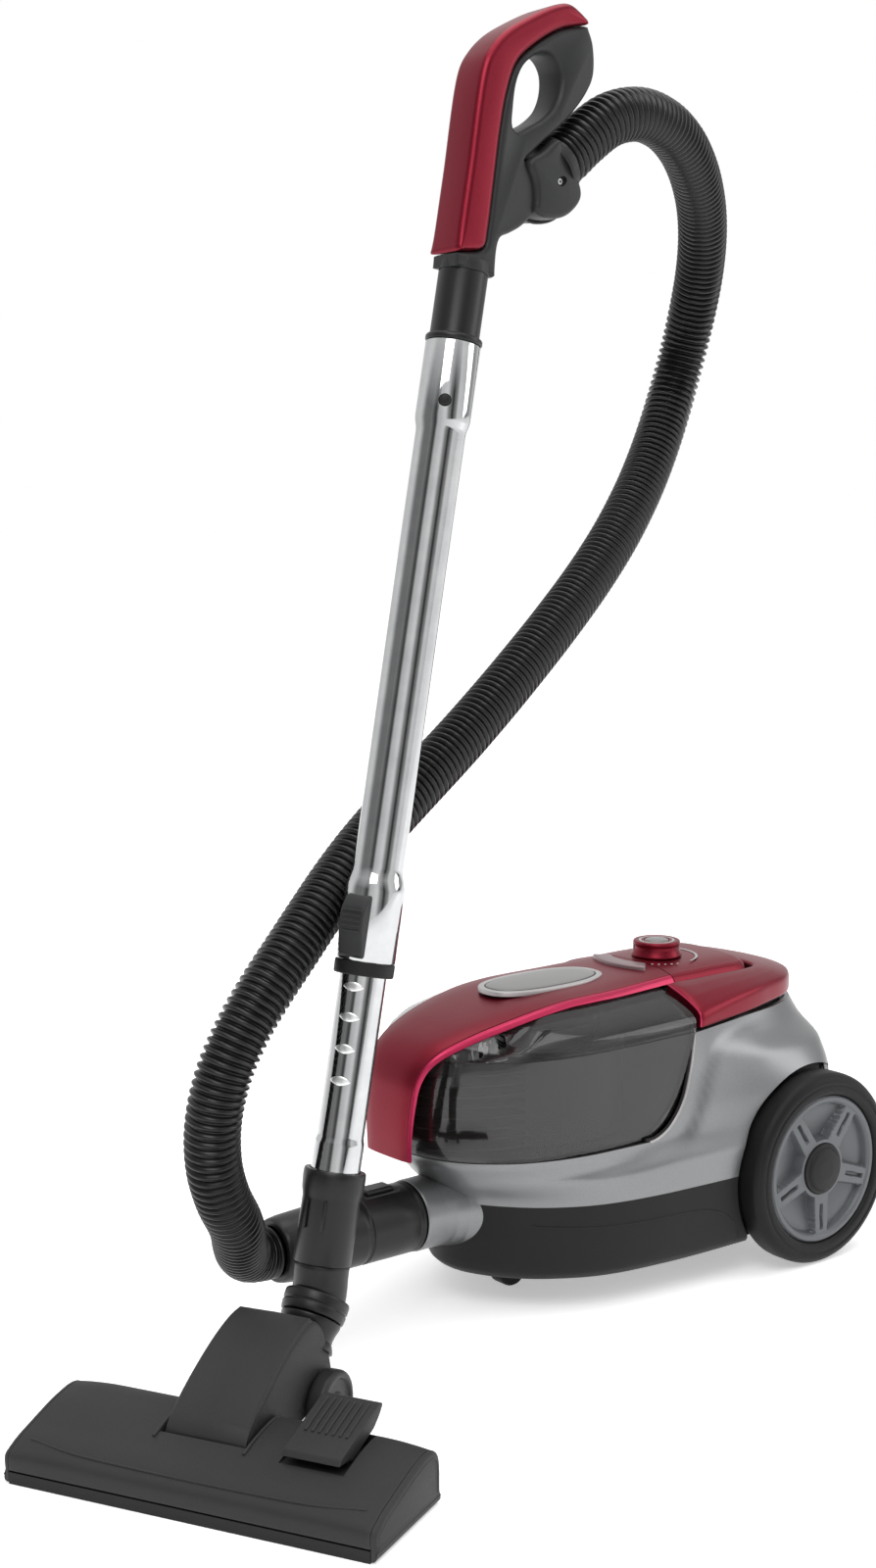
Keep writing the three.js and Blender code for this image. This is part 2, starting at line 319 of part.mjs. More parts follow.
// motor, fan, cord reel and filters inside the rear body
{
  const cx = (g) => alongX(g).translate(0, 18, 118);
  put(canister, 'motor_housing', cut(cx(ring(54, 57, 136, 214, 20)), box(100, 300, 74.8, 90, 0, 300)), BLACK());
  put(canister, 'motor_body', cx(fixed(turn([[4.4, 168], [48, 168], [48, 208], [30, 222], [4.4, 222]], 20))), STEEL());
  put(canister, 'motor_fan', cx(fixed(turn([[0, 146], [12, 146], [14, 160], [46, 160], [46, 163], [4, 163], [4, 221], [0, 221]], 20))), STEEL());
  put(canister, 'cord_reel', alongY(fixed(turn([[0, -88], [50, -88], [50, -86], [26, -86], [26, -50], [50, -50], [50, -48], [0, -48]].reverse(), 20))).translate(205, 0, 112), BLACK());
  put(canister, 'exhaust_filter', box(250, 266, -40, 50, 122, 180), LIGHT());
  let g = solid(box(281, 286.5, -41.4, 41.4, 118.6, 183.4));
  for (let i = 0; i < 9; i++) g = g.subtract(solid(box(270, 300, -35.4 + i * 8, -31 + i * 8, 124, 178)));
  put(canister, 'exhaust_grille', geom(g), BLACK());
  put(canister, 'cord_outlet', ring(4, 9, 268, 289, 16).rotateY(Math.PI / 2).translate(0, 58, 104), BLACK());
}

// ================================================================ hose
const HOSE_PATH = [
  [-23.1, -74.3, 864.5],
  [-13.0, -73.9, 871.0],
  [3.4, -73.5, 883.8],
  [31.3, -72.7, 900.8],
  [63.0, -70.1, 907.4],
  [94.7, -63.3, 903.3],
  [123.8, -52.4, 893.0],
  [150.2, -38.3, 879.7],
  [174.4, -22.2, 864.5],
  [196.2, -5.0, 847.2],
  [215.0, 12.8, 827.0],
  [229.4, 30.1, 803.3],
  [238.2, 45.6, 775.9],
  [239.7, 56.7, 745.2],
  [233.4, 61.6, 713.5],
  [220.6, 60.4, 683.5],
  [203.1, 55.0, 656.4],
  [182.5, 47.3, 632.0],
  [159.9, 38.8, 609.8],
  [136.0, 29.9, 589.3],
  [110.9, 21.2, 570.0],
  [85.1, 12.6, 551.7],
  [58.8, 4.4, 534.0],
  [32.2, -3.4, 516.5],
  [5.3, -10.9, 499.3],
  [-21.7, -18.0, 482.1],
  [-49.0, -24.9, 465.2],
  [-76.4, -31.5, 448.6],
  [-104.2, -37.6, 432.2],
  [-132.0, -43.1, 415.7],
  [-159.5, -48.2, 398.6],
  [-186.3, -53.6, 380.5],
  [-212.1, -59.8, 361.2],
  [-237.0, -66.7, 341.1],
  [-261.5, -72.9, 320.2],
  [-285.2, -76.9, 297.9],
  [-305.9, -78.2, 272.6],
  [-320.6, -76.6, 243.4],
  [-326.4, -72.7, 211.6],
  [-322.3, -66.3, 179.8],
  [-309.4, -57.2, 151.2],
  [-291.4, -44.9, 126.8],
  [-282.6, -35.9, 114.7],
  [-273.5, -24.2, 101.8],
  [-263.4, -12.5, 89.9],
  [-251.6, -3.6, 81.3],
  [-237.4, 0.0, 78.0],
  [-228.4, 0.0, 78.0],
];
{
  const curve = new THREE.CatmullRomCurve3(HOSE_PATH.map((p) => V(...p)), false, 'centripetal');
  const sh = new THREE.Shape(oval(0, 0, HOSE_R, HOSE_R, 8).map((p) => new THREE.Vector2(...p)));
  put(root, 'hose', fixed(new THREE.ExtrudeGeometry(sh, { steps: 40, extrudePath: curve, curveSegments: 1 })), SATIN());
}

// ================================================================ tube and handle, along the tube's axis
const wand = new THREE.Group();
{
  const z = WAND_DIR.clone(), x = V(1, 0, 0).addScaledVector(z, -z.x).normalize(), y = z.clone().cross(x);
  wand.quaternion.setFromRotationMatrix(new THREE.Matrix4().makeBasis(x, y, z));
  wand.position.set(...WAND_AT);
}
root.add(wand);
const radial = (g, deg) => g.rotateZ(deg * Math.PI / 180);
put(wand, 'lower_tube', fixed(turn([[15.4, -22], [17.3, -22], [17.3, 24], [INNER_R, 29], [INNER_R, 330], [15.4, 330]].reverse(), 20)), CHROME());
put(wand, 'tube_ring_lower', ring(16.8, 21, 141, 150.6, 20), BLACK());
{
  const tube = fixed(turn([[OUTER_BORE, 151], [SOCKET_R, 151], [SOCKET_R, 202], [OUTER_R + 0.3, 213], [OUTER_R, 216], [OUTER_R, 522], [19.4, 531], [19.4, 584], [18, 584], [18, 532], [OUTER_BORE, 524]].reverse(), 20));
  put(wand, 'upper_tube', cut(tube, radial(alongX(disc(4.4, 10, 30, 12)).translate(0, 0, 541), 231)), CHROME());
  put(wand, 'tube_lock_button', radial(cut(alongX(disc(4, 17.9, 20.8, 12)).translate(0, 0, 541), disc(17.9, 520, 560, 20)), 231), BLACK());
}
{
  const body = profile([[-23, 153], [-16, 153], [-16, 196], [-20, 196], [-26, 190], [-28.5, 184], [-28.5, 172], [-25, 163], [-23, 160]].map(([a, b]) => [-a, b]), -9.5, 9.5, [], 1);
  put(wand, 'latch_slider', radial(cut(body, disc(21.3, 140, 210, 20)), 203), GREY());
}
put(wand, 'handle_spigot', cut(fixed(turn([[14.5, 533], [17.5, 533], [17.5, 584.4], [20, 584.4], [20, 588.6], [17.5, 590], [17.5, 634], [14.5, 634]].reverse(), 20)), radial(alongX(disc(4.7, 12, 22, 12)).translate(0, 0, 541), 231)), SATIN());
const seam = [[-18, 643.5], [4, 652], [5.5, 665], [5, 695], [4, 737], [5, 761], [10, 785], [23, 802], [45, 821], [61, 829], [69, 832]];
const redOut = [[67, 835.5], [60, 839], [50, 841.5], [38, 837], [14, 820], [-4, 804], [-14, 790], [-19.5, 776], [-20, 700], [-20, 645]];
const fingerHole = [[16, 742], [14, 755], [14, 774], [19, 788], [30, 799], [41, 802], [50, 795], [53, 782], [50, 768], [42, 757], [30, 747], [20, 740]];
put(wand, 'handle_body', cut(profile([[-17.3, 634.4], [...seam[0]], ...seam.slice(1), [77, 822], [82, 800], [78, 786], [69, 770], [58, 755], [30, 722], [44, 705], [44, 688], [36, 677], [26, 669], [18, 663], [17.3, 634.4]], -14.5, 14.5), profile(fingerHole, -20, 20)), GREY());
put(wand, 'handle_cover', profile([...seam.map(([a, b], i) => [a - 0.45 - (i === 0 ? 1.6 : 0), b + (i < 2 ? 0.6 : i > 7 ? 0.45 : 0.1)]), ...redOut], -17, 17), RED());
{
  const g = profile([[31.1, 720.7], [54.9, 744.7], [68.5, 731.5], [81.5, 718], [82.6, 710], [79, 701], [70.5, 693], [57, 688], [44.6, 688.4], [44.6, 705]], -19, 19);
  put(wand, 'hose_housing', cut(g, alongY(disc(3.2, -22, -13, 12)).translate(62, 0, 716)), GREY());
  put(wand, 'housing_screw', alongY(disc(2.8, -16.5, -13.4, 12)).translate(62, 0, 716), STEEL());
}

// ================================================================ elbow between tube and floor head
put(wand, 'elbow_socket', fixed(turn([[17.8, 6], [21.4, 6], [21.8, 2], [21.2, -8], [20.2, -12], [20, -58], [15.2, -58], [15.2, -24], [17.8, -23]], 20)), SATIN());
const SWIVEL_AT = V(-271, -115.3, 86), SWIVEL_DIR = V(0.55, 0.212, 0.807).normalize();
const swivel = new THREE.Group();
swivel.position.copy(SWIVEL_AT);
swivel.quaternion.setFromUnitVectors(V(0, 0, 1), SWIVEL_DIR);
root.add(swivel);
{
  // short curved piece from the socket's axis to the swivel's axis
  const a = V(...WAND_AT).addScaledVector(WAND_DIR, -58.4), c = SWIVEL_AT.clone().addScaledVector(SWIVEL_DIR, -1);
  const curve = new THREE.CubicBezierCurve3(a, a.clone().addScaledVector(WAND_DIR, -9), c.clone().addScaledVector(SWIVEL_DIR, 9), c);
  const sh = new THREE.Shape(oval(0, 0, 19.4, 19.4, 16).map((p) => new THREE.Vector2(...p)));
  sh.holes.push(new THREE.Path(oval(0, 0, 15.2, 15.2, 16).reverse().map((p) => new THREE.Vector2(...p))));
  put(root, 'elbow_bend', fixed(new THREE.ExtrudeGeometry(sh, { steps: 4, extrudePath: curve, curveSegments: 1 })), SATIN());
}
put(swivel, 'elbow_collar', fixed(turn([[15, -13], [22.4, -13], [22.8, 0.6], [22.2, 1.6], [21.5, 1.6], [21.5, -1.6], [15, -1.6]].reverse(), 20)), SATIN());

// ================================================================ floor head: local x = back, y = along (to its far end), z up
const head = new THREE.Group();
head.position.set(...HEAD_AT);
head.rotation.z = HEAD_DIR;
root.add(head);
const HL = HEAD_L / 2;
const NY = 9.5, NECK_W = 30;              // the neck's middle and half width
{
  const prof = [[0.6, 8.4], [0.2, 18], [6, 24], [16, 28.5], [40, 35.5], [66, 41], [82, 42], [91, 36], [93.4, 24], [93.4, 8.4]];
  const inn = [[3.4, 0], [3.2, 17], [8.4, 21.4], [17, 25.5], [40, 32.5], [66, 38], [81, 39], [88.4, 34], [90.4, 24], [90.4, 0]];
  const shell = profile(prof, -HL + 4, HL - 4);
  const neckSlot = profile([[39.5, 0], [39.5, 31], [48, 46], [60, 60], [120, 60], [120, 0]], NY - NECK_W - 2, NY + NECK_W + 2);
  const pedalSlot = box(36, 84, -95, -49, 33, 60);
  put(head, 'head_shell', cut(shell, profile(inn, -HL + 7, HL - 7), neckSlot, pedalSlot), GREY());
  for (const [n, s] of [['left', 1], ['right', -1]]) {
    const e = [[0.6, 1], [0.2, 18], [6, 24], [16, 28.5], [40, 35.5], [66, 41], [82, 42], [91, 36], [93.4, 24], [93.4, 1]];
    put(head, `end_cap_${n}`, profile(e, s > 0 ? HL - 3.6 : -HL, s > 0 ? HL : -HL + 3.6), GREY());
  }
  // sole with the suction mouth, brush slots and roller pockets
  const sole = box(0.6, 93.4, -HL + 4, HL - 4, 0, 8);
  const mouth = box(34, 52, -100, 100, -5, 20), slotF = box(12.6, 20.4, -118, 118, -5, 20);
  put(head, 'sole_plate', cut(sole, mouth, slotF, box(56, 100, NY - NECK_W - 2, NY + NECK_W + 2, -5, 20)), BLACK());
  put(head, 'brush_strip', box(13, 20, -117.6, 117.6, 1, 9.6), BLACK());
  // rocker pedal that lowers the brushes
  const pedal = profile([[35, 39.5], [38, 44], [92, 60], [97, 57.5], [93, 52.5], [84, 46], [62, 39], [58, 35.5], [54, 35.5], [50, 38.5]], -93, -51);
  put(head, 'brush_pedal', pedal, GREY());
  // neck
  const neck = [[43, 31], [49, 41], [62, 52], [84, 66], [108, 78], [128, 85], [142, 86], [152, 78], [157, 66], [163, 52], [166, 40], [160, 30], [140, 24], [110, 20], [84, 15], [60, 12], [48, 14], [43, 22]];
  const axle = alongY(disc(3, NY - NECK_W - 13, NY + NECK_W + 13, 12)).translate(146, 0, NECK_WHEEL_R);
  const pivot = alongY(disc(4, NY - NECK_W - 1.6, NY + NECK_W + 1.6, 16)).translate(58, 0, 26);
  // hollow swivel socket on the neck's top, in line with the collar around it
  swivel.updateMatrix();
  head.updateMatrix();
  const socket = fixed(turn([[12, -46], [19.4, -46], [19, -25], [21.4, -16], [21.4, -13.4], [14.6, -13.4], [14.6, -2], [12, -2]].reverse(), 20));
  socket.applyMatrix4(swivel.matrix).applyMatrix4(head.matrix.clone().invert());
  put(head, 'neck_housing', join(profile(neck, NY - NECK_W, NY + NECK_W, [], 3), axle, pivot, socket), GREY());
  for (const [n, s] of [['left', 1], ['right', -1]]) {
    const y = NY + s * (NECK_W + 7.5);
    put(head, `neck_wheel_${n}`, alongY(fixed(turn([[3.4, -6.6], [22.5, -6.6], [NECK_WHEEL_R, -4], [NECK_WHEEL_R, 4], [22.5, 6.6], [3.4, 6.6]], 20))).translate(146, y, NECK_WHEEL_R), GREY());
  }
}

export default root;
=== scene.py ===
"""Canister vacuum cleaner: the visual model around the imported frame. Lengths inside the helpers are in
millimetres in the working frame (canister centre plane y = 0, floor z = 0), and W() takes them to metres."""
import math
import bmesh
import bpy
import numpy as np
from mathutils import Matrix, Vector


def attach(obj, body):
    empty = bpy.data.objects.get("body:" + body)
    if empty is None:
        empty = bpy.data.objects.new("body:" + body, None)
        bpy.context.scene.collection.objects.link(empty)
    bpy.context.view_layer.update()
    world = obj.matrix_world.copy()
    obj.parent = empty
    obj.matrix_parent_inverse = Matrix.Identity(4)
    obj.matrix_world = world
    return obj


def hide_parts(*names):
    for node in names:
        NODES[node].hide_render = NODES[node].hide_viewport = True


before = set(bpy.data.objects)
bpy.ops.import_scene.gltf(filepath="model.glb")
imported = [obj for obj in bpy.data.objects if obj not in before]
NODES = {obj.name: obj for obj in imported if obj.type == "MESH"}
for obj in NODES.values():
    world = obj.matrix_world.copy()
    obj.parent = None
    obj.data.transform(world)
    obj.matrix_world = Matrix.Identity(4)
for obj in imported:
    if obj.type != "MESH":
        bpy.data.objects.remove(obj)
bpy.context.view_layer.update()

OX, OY = 89.65, 90.55


def W(p):
    a = np.asarray(p, float)
    return (a + np.array([OX, OY, 0.0])) / 1000.0


def unit(a):
    a = np.asarray(a, float)
    return a / np.linalg.norm(a)


# ------------------------------------------------------------------ camera
cam_data = bpy.data.cameras.new("camera")
cam_data.sensor_fit = "AUTO"
cam_data.sensor_width = 36.0
cam_data.lens = 54.0
cam_data.clip_start, cam_data.clip_end = 0.05, 50.0
camera = bpy.data.objects.new("camera", cam_data)
bpy.context.scene.collection.objects.link(camera)
bpy.context.scene.camera = camera
_f = unit([0.622, 0.7685, -0.1478])
_r = unit(np.cross(_f, [0, 0, 1.0]))
_u = np.cross(_r, _f)
_m = Matrix.Identity(4)
for _i in range(3):
    _m[_i][0], _m[_i][1], _m[_i][2] = _r[_i], _u[_i], -_f[_i]
_m[0][3], _m[1][3], _m[2][3] = -1.09035, -1.27945, 0.675
camera.matrix_world = _m

# ------------------------------------------------------------------ local frames
X3 = np.array([1.0, 0, 0])
WV = unit([0.2226, 0.0513, 0.974])
WH = unit(X3 - X3.dot(WV) * WV)
WN = np.cross(WV, WH)
WAND = np.array([-253.0, -111.0, 167.0])
TH = math.atan2(0.4406, 0.8977)
HB = np.array([math.cos(TH), math.sin(TH), 0])
HY = np.array([-math.sin(TH), math.cos(TH), 0])
HZ = np.array([0, 0, 1.0])
HEAD = np.array([-431.5, -191.0, 0])


class Fr:
    """a frame: origin and three axes, in working millimetres"""

    def __init__(self, o, x, y, z):
        self.o, self.a = np.asarray(o, float), np.stack([unit(x), unit(y), unit(z)])

    def __call__(self, p):
        return self.o + np.asarray(p, float) @ self.a


BODY = Fr([0, 0, 0], [1, 0, 0], [0, 1, 0], [0, 0, 1])
TUBE = Fr(WAND, WH, WN, WV)
HEADF = Fr(HEAD, HB, HY, HZ)

# ------------------------------------------------------------------ materials
MATS = {}


def nodes_of(name):
    m = bpy.data.materials.new(name)
    m.use_nodes = True
    nt = m.node_tree
    return m, nt, nt.nodes["Principled BSDF"]


def noise(nt, scale, detail=2.0, rough=0.5, stretch=None):
    tc = nt.nodes.new("ShaderNodeTexCoord")
    mp = nt.nodes.new("ShaderNodeMapping")
    if stretch:
        mp.inputs["Scale"].default_value = stretch
    nt.links.new(tc.outputs["Object"], mp.inputs["Vector"])
    n = nt.nodes.new("ShaderNodeTexNoise")
    n.inputs["Scale"].default_value = scale
    n.inputs["Detail"].default_value = detail
    n.inputs["Roughness"].default_value = rough
    nt.links.new(mp.outputs["Vector"], n.inputs["Vector"])
    return n


def ramp(nt, src, stops):
    r = nt.nodes.new("ShaderNodeValToRGB")
    while len(r.color_ramp.elements) < len(stops):
        r.color_ramp.elements.new(0.5)
    for e, (p, c) in zip(r.color_ramp.elements, stops):
        e.position = p
        e.color = (*c, 1.0) if len(c) == 3 else c
    nt.links.new(src, r.inputs["Fac"])
    return r


def mrange(nt, src, lo, hi, a=0.0, b=1.0):
    r = nt.nodes.new("ShaderNodeMapRange")
    r.inputs["From Min"].default_value, r.inputs["From Max"].default_value = a, b
    r.inputs["To Min"].default_value, r.inputs["To Max"].default_value = lo, hi
    nt.links.new(src, r.inputs["Value"])
    return r


def plastic(name, col, rough, bump=0.0, grain=900.0, vary=0.06, metallic=0.0, coat=0.0, coat_rough=0.2, spec=0.5, painted_edge_highlight=0.0, rspread=0.06):
    """moulded plastic: slow colour drift, fine grain in bump and roughness, and slightly lighter convex edges, a
    painted edge highlight
    """
    m, nt, b = nodes_of(name)
    c = np.array(col, float)
    slow = noise(nt, 9.0, 3.0, 0.55)
    cr = ramp(nt, slow.outputs["Fac"], [(0.3, tuple(c * (1 - vary))), (0.7, tuple(np.minimum(c * (1 + vary), 1)))])
    colour = cr.outputs["Color"]
    # painted highlight: convex edges (Pointiness) are mixed towards a lighter colour
    if painted_edge_highlight > 0:
        g = nt.nodes.new("ShaderNodeNewGeometry")
        w = ramp(nt, g.outputs["Pointiness"], [(0.52, (0, 0, 0)), (0.62, (painted_edge_highlight, painted_edge_highlight, painted_edge_highlight))])
        mx = nt.nodes.new("ShaderNodeMix")
        mx.data_type = "RGBA"
        mx.inputs[7].default_value = (*np.minimum(c * 1.9 + 0.03, 1), 1)
        nt.links.new(w.outputs["Color"], mx.inputs[0])
        nt.links.new(colour, mx.inputs[6])
        colour = mx.outputs[2]
    nt.links.new(colour, b.inputs["Base Color"])
    fine = noise(nt, grain, 2.0, 0.6)
    rr = mrange(nt, fine.outputs["Fac"], max(rough - rspread, 0.02), rough + rspread, 0.3, 0.7)
    nt.links.new(rr.outputs["Result"], b.inputs["Roughness"])
    if bump > 0:
        bp = nt.nodes.new("ShaderNodeBump")
        bp.inputs["Strength"].default_value = bump
        bp.inputs["Distance"].default_value = 0.0004
        nt.links.new(fine.outputs["Fac"], bp.inputs["Height"])
        nt.links.new(bp.outputs["Normal"], b.inputs["Normal"])
    b.inputs["Metallic"].default_value = metallic
    b.inputs["Coat Weight"].default_value = coat
    b.inputs["Coat Roughness"].default_value = coat_rough
    b.inputs["Specular IOR Level"].default_value = spec
    MATS[name] = m
    return m


def flake(name, dark, light, rough, metallic, coat, coat_rough, facing=None):
    """painted plastic with fine metal flake: two tones mixed by flake noise, times a slow drift in tone"""
    m, nt, b = nodes_of(name)
    n1 = noise(nt, 2600.0, 2.0, 0.7)
    n2 = noise(nt, 7.0, 2.0, 0.5)
    a = ramp(nt, n1.outputs["Fac"], [(0.35, dark), (0.72, light)])
    d = ramp(nt, n2.outputs["Fac"], [(0.3, (0.93, 0.93, 0.93)), (0.7, (1, 1, 1))])
    mx = nt.nodes.new("ShaderNodeMix")
    mx.data_type = "RGBA"
    mx.blend_type = "MULTIPLY"
    mx.inputs[0].default_value = 1.0
    nt.links.new(a.outputs["Color"], mx.inputs[6])
    nt.links.new(d.outputs["Color"], mx.inputs[7])
    nt.links.new(mx.outputs[2], b.inputs["Base Color"])
    rr = mrange(nt, n1.outputs["Fac"], rough - 0.05, rough + 0.06, 0.3, 0.7)
    nt.links.new(rr.outputs["Result"], b.inputs["Roughness"])
    bp = nt.nodes.new("ShaderNodeBump")
    bp.inputs["Strength"].default_value = 0.05
    bp.inputs["Distance"].default_value = 0.0002
    nt.links.new(n1.outputs["Fac"], bp.inputs["Height"])
    nt.links.new(bp.outputs["Normal"], b.inputs["Normal"])
    b.inputs["Metallic"].default_value = metallic
    b.inputs["Coat Weight"].default_value = coat
    b.inputs["Coat Roughness"].default_value = coat_rough
    MATS[name] = m
    return m


RED = flake("paint_red", (0.15, 0.004, 0.014), (0.27, 0.009, 0.028), 0.38, 0.86, 0.12, 0.25)
# lighter red for the cover's edge strip and the handle's front edges: a painted highlight
RED_EDGE_HIGHLIGHT = flake("paint_red_edge_highlight", (0.42, 0.010, 0.062), (0.56, 0.024, 0.10), 0.32, 0.7, 0.2, 0.2)
SILVER = flake("paint_silver", (0.20, 0.204, 0.208), (0.29, 0.294, 0.30), 0.36, 0.85, 0.2, 0.22)
# light trim; as the lip along the bin's seat it is a painted highlight
TRIM_AND_HIGHLIGHT = flake("trim_light_and_seam_highlight", (0.42, 0.40, 0.40), (0.55, 0.53, 0.53), 0.36, 0.7, 0.3, 0.25)
BADGE = flake("badge_grey", (0.17, 0.165, 0.16), (0.22, 0.215, 0.21), 0.32, 0.6, 0.5, 0.15)
TRIMRED = flake("trim_rose", (0.25, 0.17, 0.18), (0.33, 0.24, 0.25), 0.4, 0.6, 0.3, 0.3)
# the edge lightening set below is a painted edge highlight
BLACK = plastic("plastic_black", (0.0105, 0.010, 0.010), 0.5, 0.15, 1500.0, 0.1, spec=0.22, painted_edge_highlight=0.15)
GREY = plastic("plastic_grey", (0.027, 0.027, 0.028), 0.55, 0.35, 1300.0, 0.08, spec=0.22, painted_edge_highlight=0.2)
GREYS = plastic("plastic_grey_smooth", (0.020, 0.0205, 0.0215), 0.42, 0.12, 1300.0, 0.08, spec=0.25, painted_edge_highlight=0.15)
SATIN = plastic("plastic_satin_black", (0.0095, 0.0095, 0.010), 0.34, 0.05, 700.0, 0.1, spec=0.32, painted_edge_highlight=0.1, rspread=0.03)
HOSEM = plastic("hose_black", (0.0055, 0.0055, 0.006), 0.30, 0.0, 500.0, 0.12, spec=0.36, rspread=0.015)
RUBBER = plastic("rubber_tyre", (0.0075, 0.0075, 0.008), 0.5, 0.12, 800.0, 0.1, spec=0.2)
RIM = plastic("plastic_rim", (0.105, 0.111, 0.118), 0.42, 0.15, 1200.0, 0.05, metallic=0.25, painted_edge_highlight=0.2)
HUB = plastic("plastic_hub", (0.013, 0.0125, 0.0125), 0.5, 0.1, 1200.0, 0.08, spec=0.22)
FOAM = plastic("filter_medium", (0.5, 0.5, 0.48), 0.9, 0.8, 600.0, 0.08)
BRISTLE = plastic("bristle", (0.03, 0.03, 0.032), 0.6, 0.3, 1500.0, 0.2)
INNER = plastic("bin_inner_grey", (0.060, 0.056, 0.053), 0.32, 0.0, 500.0, 0.1, coat=0.15, rspread=0.02)

# bright metal, drawn tubes: small noise in tone and roughness, so that it stays mirror-like
_m, _nt, _b = nodes_of("chrome_tube")
_n = noise(_nt, 60.0, 3.0, 0.6)
_c = ramp(_nt, _n.outputs["Fac"], [(0.3, (0.50, 0.51, 0.52)), (0.7, (0.58, 0.585, 0.59))])
_nt.links.new(_c.outputs["Color"], _b.inputs["Base Color"])
_r2 = mrange(_nt, _n.outputs["Fac"], 0.05, 0.1, 0.3, 0.7)
_nt.links.new(_r2.outputs["Result"], _b.inputs["Roughness"])
_b.inputs["Metallic"].default_value = 1.0
CHROME = _m
_m, _nt, _b = nodes_of("steel_brushed")
_n = noise(_nt, 300.0, 3.0, 0.6, (1, 12, 12))
_c = ramp(_nt, _n.outputs["Fac"], [(0.3, (0.36, 0.37, 0.38)), (0.7, (0.5, 0.5, 0.5))])
_nt.links.new(_c.outputs["Color"], _b.inputs["Base Color"])
_r2 = mrange(_nt, _n.outputs["Fac"], 0.25, 0.42, 0.3, 0.7)
_nt.links.new(_r2.outputs["Result"], _b.inputs["Roughness"])
_b.inputs["Metallic"].default_value = 1.0
STEEL = _m
DETENT = plastic("detent_bright", (0.86, 0.865, 0.87), 0.34, 0.0, 300.0, 0.03, metallic=1.0)


def smoke(name, col, rough, alpha):
    m, nt, b = nodes_of(name)
    n = noise(nt, 5.0, 2.0, 0.5)
    c = np.array(col)
    cr = ramp(nt, n.outputs["Fac"], [(0.3, tuple(c * 0.93)), (0.7, tuple(np.minimum(c * 1.07, 1)))])
    nt.links.new(cr.outputs["Color"], b.inputs["Base Color"])
    b.inputs["Roughness"].default_value = rough
    b.inputs["Alpha"].default_value = alpha
    b.inputs["IOR"].default_value = 1.56
    b.inputs["Specular IOR Level"].default_value = 0.8
    MATS[name] = m
    return m


SMOKE = smoke("smoky_clear", (0.014, 0.0125, 0.012), 0.06, 0.55)
HOOD = smoke("smoky_hood", (0.030, 0.0285, 0.028), 0.08, 0.42)

# ------------------------------------------------------------------ mesh tools
COL = bpy.context.scene.collection


def obj_of(name, verts, faces, mat, fr=BODY, smooth=35.0, world=False):
    v = np.asarray(verts, float)
    w = v if world else W(fr(v))
    me = bpy.data.meshes.new(name)
    me.from_pydata([tuple(p) for p in w], [], [tuple(int(i) for i in f) for f in faces])
    me.validate()
    bm = bmesh.new()
    bm.from_mesh(me)
    bmesh.ops.remove_doubles(bm, verts=bm.verts, dist=1e-7)
    bmesh.ops.recalc_face_normals(bm, faces=bm.faces)
    bm.to_mesh(me)
    bm.free()
    me.polygons.foreach_set("use_smooth", [True] * len(me.polygons))
    me.set_sharp_from_angle(angle=math.radians(smooth))
    o = bpy.data.objects.new(name, me)
    COL.objects.link(o)
    o.data.materials.append(mat)
    return o


def closed_loft(rings, caps=True):
    rings = [np.asarray(r, float) for r in rings]
    n = len(rings[0])
    v = np.vstack(rings)
    f = []
    for i in range(len(rings) - 1):
        for j in range(n):
            a, b = i * n + j, i * n + (j + 1) % n
            f.append((a, b, b + n, a + n))
    if caps:
        f.append(tuple(range(n))[::-1])
        f.append(tuple((len(rings) - 1) * n + k for k in range(n)))
    return v, f


def lathe(pts, seg=96, close=False):
    """turned piece about local z from (r, z) points; close joins the last point to the first"""
    v, f = [], []
    idx = []
    for r, z in pts:
        if r < 1e-6:
            idx.append([len(v)] * seg)
            v.append((0, 0, z))
        else:
            idx.append([len(v) + k for k in range(seg)])
            v += [(r * math.cos(2 * math.pi * k / seg), r * math.sin(2 * math.pi * k / seg), z) for k in range(seg)]
    m = len(pts)
    for i in range(m if close else m - 1):
        a, b = idx[i], idx[(i + 1) % m]
        for k in range(seg):
            q = [a[k], a[(k + 1) % seg], b[(k + 1) % seg], b[k]]
            q = [x for t, x in enumerate(q) if x not in q[:t]]
            if len(q) > 2:
                f.append(tuple(q))
    return np.array(v, float), f


def rounded(pts, r=0.8, n=3, closed=True):
    """rounds the corners of a polyline by quadratic arcs"""
    P = [np.array(p, float) for p in pts]
    out = []
    m = len(P)
    for i, p in enumerate(P):
        if not closed and i in (0, m - 1):
            out.append(p)
            continue
        a, b = P[i - 1], P[(i + 1) % m]
        la, lb = np.linalg.norm(a - p), np.linalg.norm(b - p)
        ka, kb = min(r, la * 0.45) / max(la, 1e-9), min(r, lb * 0.45) / max(lb, 1e-9)
        s, e = p + (a - p) * ka, p + (b - p) * kb
        for k in range(n + 1):
            t = k / n
            out.append((1 - t) ** 2 * s + 2 * t * (1 - t) * p + t * t * e)
    return np.array(out)


